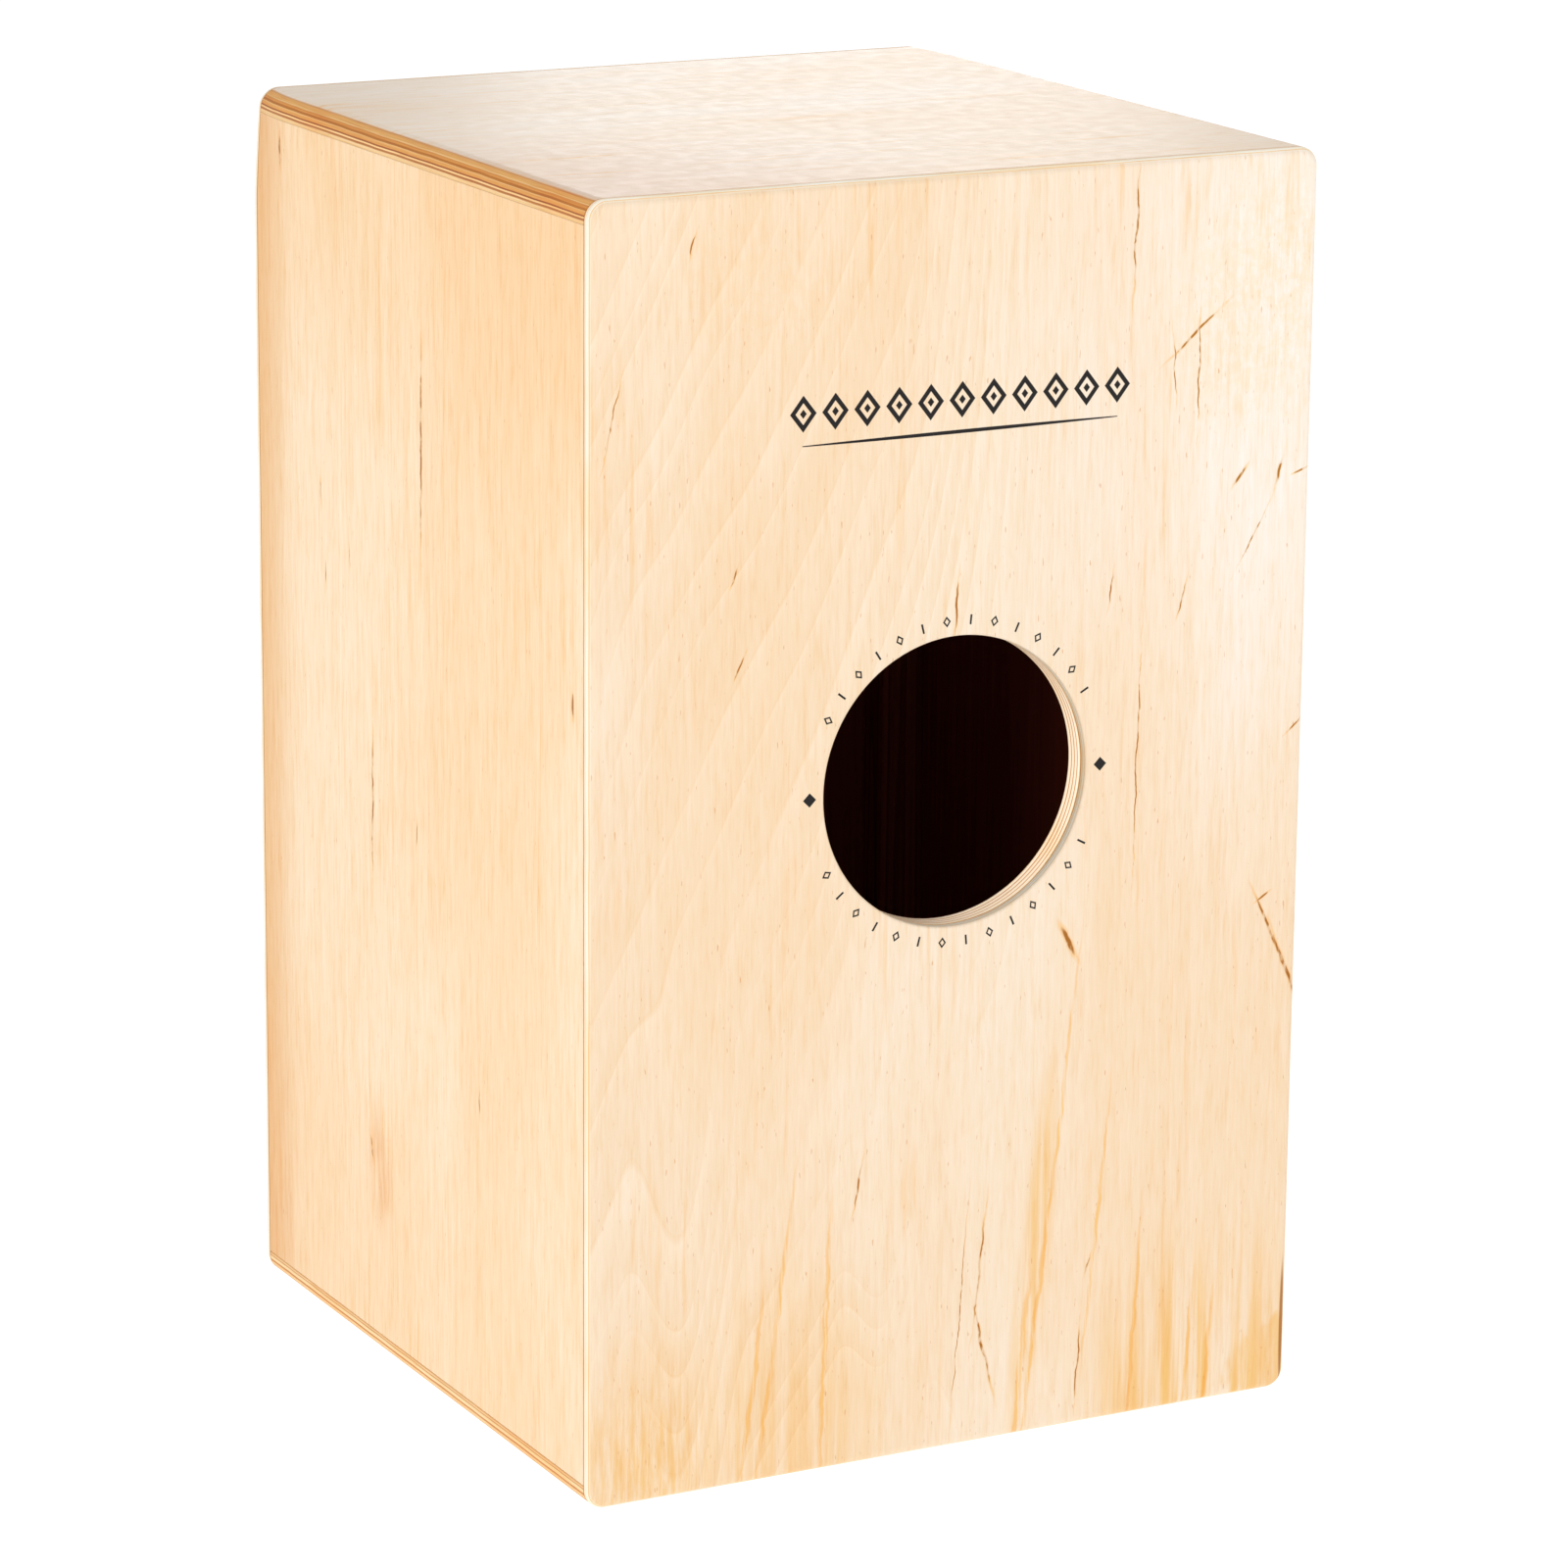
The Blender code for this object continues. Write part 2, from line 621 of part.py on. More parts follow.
def make_screws(front_plate, battens, rail, snares, root):
    """The countersunk screws and the holes they sit in."""
    into_front = (0, 1, 0)
    mesh = screw_mesh("plate_screw", PLATE_SCREW, BLACK_STEEL)
    spots = []
    for name, x, z in plate_screw_places():
        spot = (x, FRONT + HEAD_SINK, z)
        spots.append(spot)
        add_screw(name, mesh, spot, into_front, root)
    holes = screw_cutter("plate_screw_holes", PLATE_SCREW, spots, into_front, root)
    for piece in [front_plate] + battens:
        cut(piece, holes)

    into_rail = (0, -1, 0)
    mesh = screw_mesh("rail_screw", RAIL_SCREW, BLACK_STEEL)
    for name, spot in rail_screw_places():
        add_screw(name, mesh, spot, into_rail, root)
    spots = [spot for _, spot in rail_screw_places()]
    holes = screw_cutter("rail_screw_holes", RAIL_SCREW, spots, into_rail, root)
    for piece in [rail] + [b for b in battens if b.name.endswith(("left", "right"))]:
        cut(piece, holes)

    mesh = pan_screw_mesh("snare_screw", SNARE_SCREW, BLACK_STEEL)
    _, shank, length = SNARE_SCREW
    lay = Matrix.Rotation(math.radians(90), 4, "X")
    plugs = bmesh.new()
    for name, (x, y, z) in snare_screw_places():
        add_screw(name, mesh, (x, y - SCREW_SPACE, z), (0, -1, 0), root)
        bmesh.ops.create_cone(
            plugs,
            cap_ends=True,
            segments=SCREW_SIDES,
            radius1=shank + SCREW_SPACE,
            radius2=shank + SCREW_SPACE,
            depth=2 * length + 2 * SCREW_SPACE,
            matrix=Matrix.Translation((x, y, z)) @ lay,
        )
    cutter = add_object("snare_screw_holes", mesh_from("snare_screw_holes", plugs), root)
    hide_cutter(cutter)
    for piece in [rail] + snares:
        cut(piece, cutter)


def main():
    clear_scene()
    root = bpy.data.objects.new("cajon", None)
    bpy.context.scene.collection.objects.link(root)

    make_end_board("top_board", True, root)
    bottom_board = make_end_board("bottom_board", False, root)
    for side_name, side in SIDES:
        make_side_board("side_board_" + side_name, side, root)
    make_back_panel(root)
    make_sound_hole_ring(root)
    front_plate = make_front_plate(root)

    front_battens = make_battens("front", FRONT_BATTEN, SHELL_FRONT, SHELL_FRONT + FRONT_BATTEN, 1, root)
    make_battens("back", BACK_BATTEN, SHELL_BACK - BACK_BATTEN, SHELL_BACK, 0, root)
    rail = make_snare_rail(root)
    snares = []
    for side_name, side in SIDES:
        snares.append(make_snare_wires("snare_wires_" + side_name, side * SNARE_OFFSET, root))
    make_screws(front_plate, front_battens, rail, snares, root)
    make_feet(bottom_board, root)


main()
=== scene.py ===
"""The looks of a cajon, a box drum of birch plywood: finely rounded boards and panels with real veneer
figure and ply edges, a turned sound hole, coiled snare wires, threaded screws and rubber feet."""

import math

import bmesh
import bpy
from mathutils import Matrix, Vector


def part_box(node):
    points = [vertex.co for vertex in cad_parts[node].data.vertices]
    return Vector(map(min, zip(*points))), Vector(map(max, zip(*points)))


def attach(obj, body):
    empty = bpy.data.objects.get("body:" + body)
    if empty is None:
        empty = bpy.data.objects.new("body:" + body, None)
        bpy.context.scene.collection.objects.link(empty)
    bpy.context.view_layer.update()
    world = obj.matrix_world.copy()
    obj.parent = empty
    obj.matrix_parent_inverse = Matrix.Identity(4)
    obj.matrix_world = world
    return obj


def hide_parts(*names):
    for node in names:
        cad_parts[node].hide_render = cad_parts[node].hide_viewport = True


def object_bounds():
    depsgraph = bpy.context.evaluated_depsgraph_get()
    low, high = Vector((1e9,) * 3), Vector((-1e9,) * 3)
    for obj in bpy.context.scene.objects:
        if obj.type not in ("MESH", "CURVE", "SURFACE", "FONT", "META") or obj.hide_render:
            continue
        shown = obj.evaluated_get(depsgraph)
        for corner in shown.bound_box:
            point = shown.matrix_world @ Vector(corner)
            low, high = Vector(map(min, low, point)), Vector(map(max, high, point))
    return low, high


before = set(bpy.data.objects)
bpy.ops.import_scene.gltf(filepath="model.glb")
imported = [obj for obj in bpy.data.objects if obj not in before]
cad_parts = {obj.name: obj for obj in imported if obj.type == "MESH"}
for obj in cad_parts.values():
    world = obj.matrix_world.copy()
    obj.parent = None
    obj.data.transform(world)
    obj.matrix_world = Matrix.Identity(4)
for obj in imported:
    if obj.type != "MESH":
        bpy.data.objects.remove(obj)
CAD_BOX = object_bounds()
LOW, HIGH = CAD_BOX

# Places read from the frame
RIGHT = HIGH.x
FRONT, BACK = LOW.y, HIGH.y
BODY_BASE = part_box("bottom_board")[0].z
BODY_TOP = HIGH.z
BOARD_LOW, BOARD_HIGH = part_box("top_board")
BOARD = BOARD_HIGH.z - BOARD_LOW.z
SHELL_FRONT, SHELL_BACK = BOARD_LOW.y, BOARD_HIGH.y
BODY_MIDDLE = (BODY_BASE + BODY_TOP) / 2
INNER_SIDE = RIGHT - BOARD
INNER_BASE = BODY_BASE + BOARD
INNER_TOP = BODY_TOP - BOARD
PANEL_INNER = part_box("back_panel")[0].y
PLATE_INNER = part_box("front_plate")[1].y
RING_LOW, RING_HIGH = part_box("sound_hole_ring")
HOLE_Z = (RING_LOW.z + RING_HIGH.z) / 2
RING_OUTER_RADIUS = (RING_HIGH.z - RING_LOW.z) / 2
SIDES = (("left", -1), ("right", 1))

# Shapes that a box doesn't tell
CORNER_ROUND = 0.0075
BACK_EDGE_ROUND = 0.0030
PLATE_EDGE_ROUND = 0.0012
HOLE_RADIUS = 0.055
HOLE_EDGE_ROUND = 0.0010
RING_EDGE_ROUND = 0.0015
RING_LIP = 0.0006
BATTEN_CHAMFER = 0.003
BATTEN_EASE = 0.0005
JOINT = 0.0001
SURFACE = 1e-6
EASE, EASE_HEIGHT, EASE_REACH = 0.003, 0.045, 0.030
ARC_STEPS = 14
EASE_STEPS = 14
HOLE_STEPS = 160
OUTLINE_STEP = 0.006

# Screws: shank radii by kind, and the shape of head, thread and cross recess
PLATE_SHANK, RAIL_SHANK, SNARE_SHANK, FOOT_SHANK = 0.0016, 0.0018, 0.0012, 0.0016
PAN_HEAD = 0.0022
HEAD_LAND = 0.0003
THREAD_PITCH = 0.00125
THREAD_CORE = 0.74
SCREW_STEPS = 28
COUNTERSINK_SPACE = 0.0003
SHANK_SPACE = 0.0002

# Rubber feet
FOOT_TAPER = 0.002
FOOT_RECESS_RADIUS = 0.0055
FOOT_RECESS = 0.005
FOOT_HOLE_RADIUS = 0.0018
FOOT_EDGE_ROUND = 0.0014

# Snare wires
WIRES = 10
WIRE_PITCH = 0.006
COIL_RADIUS = 0.0008
WIRE_RADIUS = 0.0002
COIL_PITCH = 0.00115
STRIP_TALL = 0.014
STRIP_THICK = 0.001
SOLDER_BEAD = (0.0016, 0.0009, 0.0030)

# The camera: where it stands, and the way it looks
CAMERA_PLACE = (1.0692, 2.0463, 0.8400)
CAMERA_AZIMUTH = 152.257
CAMERA_DROP = 13.991
CAMERA_ROLL = 0.487
CAMERA_LENS = 140.7
CAMERA_SHIFT = -0.05


# -------- mesh work --------


def arc(centre, radius, start, end, steps=ARC_STEPS):
    """Points on an arc in a plane, from start to end in quarter turns."""
    points = []
    for i in range(steps + 1):
        a = (start + (end - start) * i / steps) * math.pi / 2
        points.append((centre[0] + radius * math.cos(a), centre[1] + radius * math.sin(a)))
    return points


def join_rings(bm, rings, closed=False):
    """Walls between rings of points, with a face over each end, or with the end joined to the start."""
    loops = [[bm.verts.new(point) for point in ring] for ring in rings]
    pairs = list(zip(loops, loops[1:]))
    if closed:
        pairs.append((loops[-1], loops[0]))
    for low, high in pairs:
        for i in range(len(low)):
            j = (i + 1) % len(low)
            bm.faces.new((low[i], low[j], high[j], high[i]))
    if not closed:
        bm.faces.new(loops[0])
        bm.faces.new(loops[-1])


def joined(rings, closed=False):
    """A new mesh of these rings alone."""
    bm = bmesh.new()
    join_rings(bm, rings, closed)
    return bm


def mark_inner(bm, axis, level):
    """Gives slot 1, the inside look, to the faces that lie at this level on an axis."""
    for face in bm.faces:
        if all(abs(v.co[axis] - level) < SURFACE for v in face.verts):
            face.material_index = 1


def circle(radius, z, steps):
    turns = [2 * math.pi * i / steps for i in range(steps)]
    return [(radius * math.cos(a), radius * math.sin(a), z) for a in turns]


def finish_mesh(name, bm):
    bmesh.ops.recalc_face_normals(bm, faces=bm.faces)
    mesh = bpy.data.meshes.new(name)
    bm.to_mesh(mesh)
    bm.free()
    return mesh


def carved(name, bm, cutter_bm):
    """The mesh of one shape with another cut out of it."""
    body = bpy.data.objects.new(name + "_uncut", finish_mesh(name + "_uncut", bm))
    tool = bpy.data.objects.new(name + "_cutter", finish_mesh(name + "_cutter", cutter_bm))
    for obj in (body, tool):
        bpy.context.scene.collection.objects.link(obj)
    boolean = body.modifiers.new("carve", "BOOLEAN")
    boolean.operation = "DIFFERENCE"
    boolean.solver = "EXACT"
    boolean.object = tool
    graph = bpy.context.evaluated_depsgraph_get()
    mesh = bpy.data.meshes.new_from_object(body.evaluated_get(graph), depsgraph=graph)
    mesh.name = name
    for obj in (body, tool):
        bpy.data.objects.remove(obj, do_unlink=True)
    return mesh


def piece(name, mesh, materials, slot, *nodes, sharp=32):
    """A finished piece: smooth where it is round, and standing for its CAD nodes."""
    obj = bpy.data.objects.new(name, mesh)
    bpy.context.scene.collection.objects.link(obj)
    for material in materials:
        mesh.materials.append(material)
    mesh.shade_smooth()
    mesh.set_sharp_from_angle(angle=math.radians(sharp))
    normals = obj.modifiers.new("flat_faces_stay_flat", "WEIGHTED_NORMAL")
    normals.keep_sharp = True
    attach(obj, "root")
    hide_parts(*nodes)
    return obj


# -------- the box --------


def ease(y, z):
    """How far the sanding takes a side surface in, at this depth and height."""
    rise = max(0.0, 1 - (BODY_TOP - z) / EASE_HEIGHT)
    reach = max(0.0, 1 - (y - FRONT) / EASE_REACH)
    return EASE * rise**1.3 * reach**1.5


def eased(x, y, z):
    """A point near a side of the box, moved in by the sanding."""
    if abs(x) < RIGHT - 2 * CORNER_ROUND:
        return (x, y, z)
    return (x - math.copysign(ease(y, z), x), y, z)


def eased_heights():
    """Heights at which a shape needs points, so that the sanding near the top comes out round."""
    return [BODY_TOP - EASE_HEIGHT * k / EASE_STEPS for k in range(EASE_STEPS, 0, -1)]


def eased_depths():
    """The same along the box's depth, over the whole length of a board."""
    near = [FRONT + EASE_REACH * k / EASE_STEPS for k in range(EASE_STEPS + 1)]
    return [SHELL_FRONT] + [y for y in near if y > SHELL_FRONT + 0.0005] + [SHELL_BACK]


def box_outline(inset):
    """The box seen from behind: a rectangle with round corners, inset all round, as (x, z) points."""
    half = RIGHT - inset
    low = BODY_BASE + inset
    high = BODY_TOP - inset
    r = CORNER_ROUND - inset
    side_heights = [z for z in eased_heights() if z < BODY_TOP - CORNER_ROUND - 0.001]
    points = arc((half - r, high - r), r, 1, 0)
    points += [(half, z) for z in reversed(side_heights)]
    points += arc((half - r, low + r), r, 0, -1)
    points += arc((-half + r, low + r), r, -1, -2)
    points += [(-half, z) for z in side_heights]
    points += arc((-half + r, high - r), r, 2, 1)
    return points


def end_board(name, upper, materials):
    """The top or bottom board: its two outer long edges are rounded, and its inner face is slot 1."""
    r = CORNER_ROUND
    section = [(-RIGHT, 0.0), (RIGHT, 0.0)] + arc((RIGHT - r, BOARD - r), r, 0, 1)
    section += arc((-RIGHT + r, BOARD - r), r, 1, 2)
    at = (lambda z: INNER_TOP + z) if upper else (lambda z: INNER_BASE - z)
    rings = [[eased(x, y, at(z)) for x, z in section] for y in eased_depths()]
    bm = joined(rings)
    mark_inner(bm, 2, at(0))
    return piece(name + "_plywood", finish_mesh(name, bm), materials, "birch_board", name)


def side_board(name, side, materials):
    """A side board, which stands between the top and bottom boards. Its inner face is slot 1."""
    low, high = INNER_BASE + JOINT, INNER_TOP - JOINT
    heights = [low] + [z for z in eased_heights() if z < high - 0.001] + [high]
    rings = []
    for z in heights:
        ring = [eased(side * RIGHT, y, z) for y in eased_depths()]
        ring += [(side * INNER_SIDE, SHELL_BACK, z), (side * INNER_SIDE, SHELL_FRONT, z)]
        rings.append(ring)
    bm = joined(rings)
    mark_inner(bm, 0, side * INNER_SIDE)
    return piece(name + "_plywood", finish_mesh(name, bm), materials, "birch_board", name)


def back_panel(materials):
    """The back panel as one strip of quads that runs round its section, from the inner face over the
    rounded edge to the outer face and down the rounded wall of the sound hole."""
    base = box_outline(0.0)
    corner = CORNER_ROUND
    spread = []
    for i, (x, z) in enumerate(base):
        x2, z2 = base[(i + 1) % len(base)]
        pieces = max(1, round(math.hypot(x2 - x, z2 - z) / OUTLINE_STEP))
        spread += [(x + (x2 - x) * k / pieces, z + (z2 - z) * k / pieces) for k in range(pieces)]

    def inset_point(x, z, inset):
        cx = max(-RIGHT + corner, min(RIGHT - corner, x))
        cz = max(BODY_BASE + corner, min(BODY_TOP - corner, z))
        away = Vector((x - cx, 0, z - cz)).normalized() * inset
        return (x - away.x, z - away.z)

    def hole_point(x, z, radius):
        a = math.atan2(z - HOLE_Z, x)
        return (radius * math.cos(a), HOLE_Z + radius * math.sin(a))

    r, edge = BACK_EDGE_ROUND, HOLE_EDGE_ROUND
    rings = [[(x, PANEL_INNER, z) for x, z in spread]]
    for along, away in reversed(arc((BACK - r, 0.0), r, 0, 1, steps=10)):
        rings.append([(px, along, pz) for px, pz in (inset_point(x, z, r - away) for x, z in spread)])
    for away, along in arc((HOLE_RADIUS + edge, BACK - edge), edge, 1, 2, steps=6):
        rings.append([(px, along, pz) for px, pz in (hole_point(x, z, away) for x, z in spread)])
    rings.append([(px, PANEL_INNER, pz) for px, pz in (hole_point(x, z, HOLE_RADIUS) for x, z in spread)])
    bm = joined(rings, closed=True)
    mark_inner(bm, 1, PANEL_INNER)
    return piece("back_panel_plywood", finish_mesh("back_panel", bm), materials, "birch_panel", "back_panel")


def sound_hole_ring(materials):
    """The plywood ring behind the back panel, its inner edges eased."""
    outer, inner, r, lip = RING_HIGH.y, RING_LOW.y, RING_EDGE_ROUND, RING_LIP
    profile = [(HOLE_RADIUS, outer), (HOLE_RADIUS, inner + lip), (HOLE_RADIUS + lip, inner)]
    corner = arc((inner + r, RING_OUTER_RADIUS - r), r, 1, 2, steps=6)
    profile += [(z, y) for y, z in reversed(corner)]
    profile += [(RING_OUTER_RADIUS, outer)]
    rings = []
    for radius, y in profile:
        rings.append([(x, y, HOLE_Z + z) for x, z, _ in circle(radius, 0, HOLE_STEPS)])
    mesh = finish_mesh("sound_hole_ring", joined(rings, closed=True))
    return piece("sound_hole_ring_plywood", mesh, materials, "birch_board", "sound_hole_ring")


def front_plate(screws, materials):
    """The striking plate, with a countersink under each screw. Its inner face is slot 1."""
    r = PLATE_EDGE_ROUND
    steps = [(PLATE_INNER, 0.0)]
    steps += [(along, r + away) for along, away in reversed(arc((FRONT + r, 0.0), -r, 0, 1, steps=6))]
    bm = joined([[eased(x, y, z) for x, z in box_outline(inset)] for y, inset in steps])
    cutter = bmesh.new()
    for centre, head, shank in screws:
        wide, narrow = head + COUNTERSINK_SPACE, shank + SHANK_SPACE
        cone = 0.0004 + head - shank
        rings = []
        for radius, depth in ((wide, -0.002), (wide, 0.0002), (narrow, cone), (narrow, 0.006)):
            ring = circle(radius, 0, 32)
            rings.append([(centre.x + x, FRONT + depth, centre.z + z) for x, z, _ in ring])
        join_rings(cutter, rings)
    mesh = carved("front_plate", bm, cutter)
    for face in mesh.polygons:
        face.material_index = int(abs(face.center.y - PLATE_INNER) < SURFACE)
    return piece("front_plate_plywood", mesh, materials, "birch_panel", "front_plate")


def batten(node, materials):
    """A planed softwood strip: long edges rounded over, and the edge towards the cavity chamfered."""
    low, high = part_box(node)
    size = high - low
    bm = bmesh.new()
    bmesh.ops.create_cube(bm, size=1.0)
    bmesh.ops.scale(bm, vec=size, verts=bm.verts)
    bmesh.ops.translate(bm, vec=(low + high) / 2, verts=bm.verts)
    long_axis = max(range(3), key=lambda axis: size[axis])
    middle = Vector((0, 0, BODY_MIDDLE))
    long_edges = []
    for edge in bm.edges:
        if abs((edge.verts[1].co - edge.verts[0].co)[long_axis]) > size[long_axis] * 0.9:
            long_edges.append(edge)
    nearest = min(long_edges, key=lambda e: ((e.verts[0].co + e.verts[1].co) / 2 - middle).length)
    bmesh.ops.bevel(bm, geom=[nearest], offset=BATTEN_CHAMFER, segments=1, affect="EDGES")
    bmesh.ops.bevel(bm, geom=bm.edges[:], offset=BATTEN_EASE, segments=3, profile=0.5, affect="EDGES")
    return piece(node + "_strip", finish_mesh(node, bm), materials, "batten", node, sharp=50)


# -------- metal and rubber --------


def screw_mesh(name, head, shank, length, flat_head):
    """A wood screw pointing down, its head's outer face (or a pan head's bearing face) at zero."""
    steps = SCREW_STEPS
    rings = []
    if flat_head:
        start = -HEAD_LAND - (head - shank)
        for radius, z in ((head - 0.00015, 0.0), (head, -0.00012), (head, -HEAD_LAND), (shank, start)):
            rings.append(circle(radius, z, steps))
    else:
        start = 0.0
        for z, radius in arc((0.0, 0.0), 1.0, 1, 0.12, steps=7)[::-1]:
            rings.append(circle(head * radius, PAN_HEAD * z, steps))
        rings.append(circle(shank, start, steps))
    tip = 3 * shank
    count = int((length + start) / THREAD_PITCH * 5)
    for k in range(1, count):
        z = start - (length + start) * k / count
        taper = min(1.0, (length + z) / tip)
        ring = []
        for i in range(steps):
            phase = (z / THREAD_PITCH - i / steps) % 1.0
            ridge = max(0.0, 1 - abs(2 * phase - 1) * 1.8)
            radius = max(0.0002, shank * taper * (THREAD_CORE + (1 - THREAD_CORE) * ridge))
            a = 2 * math.pi * i / steps
            ring.append((radius * math.cos(a), radius * math.sin(a), z))
        rings.append(ring)
    rings.append(circle(0.0001, -length, steps))
    return carved(name, joined(rings), cross_recess(head, 0.0 if flat_head else PAN_HEAD))


def cross_recess(head, top):
    """A tapering cross-shaped recess under the face at this height."""
    rings = []
    for share, z in ((1.0, top + 0.0005), (0.94, top), (0.42, top - head * 0.55)):
        arm = head * 0.56 * share
        half = head * 0.13 * (0.5 + share / 2)
        ring = []
        for c, s in ((1, 0), (0, 1), (-1, 0), (0, -1)):
            for x, y in ((arm, -half), (arm, half), (half, half)):
                ring.append((x * c - y * s, x * s + y * c, z))
        rings.append(ring)
    return joined(rings)


def stand_screw(node, mesh, place, direction, material, slot):
    """A screw at a CAD screw's place, pointing along this direction, each turned to its own angle."""
    obj = piece(node + "_detail", mesh.copy(), [material], slot, node, sharp=40)
    turn = Vector((0, 0, -1)).rotation_difference(Vector(direction)).to_matrix().to_4x4()
    spin = Matrix.Rotation(2.399 * (sum(map(ord, node)) % 17), 4, "Z")
    obj.data.transform(Matrix.Translation(place) @ turn @ spin)


def screw_nodes(prefix):
    return sorted(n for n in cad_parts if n.startswith(prefix))


def node_screw(node, axis, toward):
    """A screw node's head centre, head radius and length, from its box. Toward is the head's side."""
    low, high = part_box(node)
    place = (low + high) / 2
    place[axis] = high[axis] if toward > 0 else low[axis]
    across = [a for a in range(3) if a != axis]
    return place, (high[across[0]] - low[across[0]]) / 2, high[axis] - low[axis]


def snare_set(node, materials):
    """A steel strip with ten coiled wires soldered to it, which lean forward to the plate."""
    low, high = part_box(node)
    centre = (low.x + high.x) / 2
    bm = bmesh.new()
    bmesh.ops.create_cube(bm, size=1.0)
    bmesh.ops.scale(bm, vec=(high.x - low.x, STRIP_THICK, STRIP_TALL), verts=bm.verts)
    bmesh.ops.translate(bm, vec=(centre, high.y - STRIP_THICK / 2, low.z + STRIP_TALL / 2), verts=bm.verts)
    bmesh.ops.bevel(bm, geom=bm.edges[:], offset=0.0003, segments=2, affect="EDGES")
    foot = Vector((centre, high.y - STRIP_THICK - COIL_RADIUS, low.z + STRIP_TALL * 0.62))
    tip = Vector((centre, low.y + COIL_RADIUS + WIRE_RADIUS, high.z - 0.0006))
    along = (tip - foot).normalized()
    reach = (tip - foot).length
    out = Vector((1, 0, 0))
    over = along.cross(out)
    steps = int(reach / COIL_PITCH * 9)
    for i in range(WIRES):
        start = foot + out * WIRE_PITCH * (i - (WIRES - 1) / 2)
        rings = []
        for k in range(steps + 1):
            a = 2 * math.pi * reach * k / steps / COIL_PITCH
            normal = out * math.cos(a) + over * math.sin(a)
            around = (over * math.cos(a) - out * math.sin(a)) * COIL_RADIUS
            tangent = around + along * COIL_PITCH / (2 * math.pi)
            side = tangent.normalized().cross(normal)
            middle = start + along * reach * k / steps + normal * COIL_RADIUS
            ring = []
            for j in range(5):
                b = 2 * math.pi * j / 5
                ring.append(middle + (normal * math.cos(b) + side * math.sin(b)) * WIRE_RADIUS)
            rings.append(ring)
        join_rings(bm, rings)
        solder(bm, start + Vector((0, COIL_RADIUS * 0.6, 0)))
    return piece(node + "_coils", finish_mesh(node, bm), materials, "snare_steel", node, sharp=60)


def solder(bm, place):
    """A small bead of solder over the end of a wire."""
    made = bmesh.ops.create_uvsphere(bm, u_segments=12, v_segments=8, radius=1.0)
    bmesh.ops.scale(bm, vec=SOLDER_BEAD, verts=made["verts"])
    bmesh.ops.translate(bm, vec=place, verts=made["verts"])


def rubber_foot(node, materials):
    """A turned rubber foot with a screw recess and a shallow groove round its base."""
    low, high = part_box(node)
    centre = (low + high) / 2
    top_radius = (high.x - low.x) / 2
    hole, recess, deep, r = FOOT_HOLE_RADIUS, FOOT_RECESS_RADIUS, FOOT_RECESS, FOOT_EDGE_ROUND
    flat = top_radius - FOOT_TAPER - r
    profile = [(hole, deep), (recess - 0.0004, deep), (recess, deep - 0.0004)]
    profile += [(recess, 0.0006), (recess + 0.0006, 0.0), (flat - 0.003, 0.0)]
    profile += [(flat - 0.0026, 0.0004), (flat - 0.0018, 0.0004), (flat - 0.0014, 0.0)]
    profile += arc((flat, r), r, -1, 0, steps=8)
    profile += [(top_radius - 0.0004, high.z - 0.0012), (top_radius, high.z - 0.0008)]
    profile += [(top_radius - 0.0003, high.z), (hole, high.z)]
    rings = []
    for radius, z in profile:
        rings.append([(centre.x + x, centre.y + y, z) for x, y, _ in circle(radius, 0, 64)])
    mesh = finish_mesh(node, joined(rings, closed=True))
    return piece(node + "_moulding", mesh, materials, "rubber", node, sharp=40)


# -------- node graphs --------


def srgb(r, g, b):
    """A colour given in display values from 0 to 255, as linear light."""
    parts = []
    for v in (r, g, b):
        v /= 255
        parts.append(v / 12.92 if v <= 0.04045 else ((v + 0.055) / 1.055) ** 2.4)
    return (*parts, 1.0)


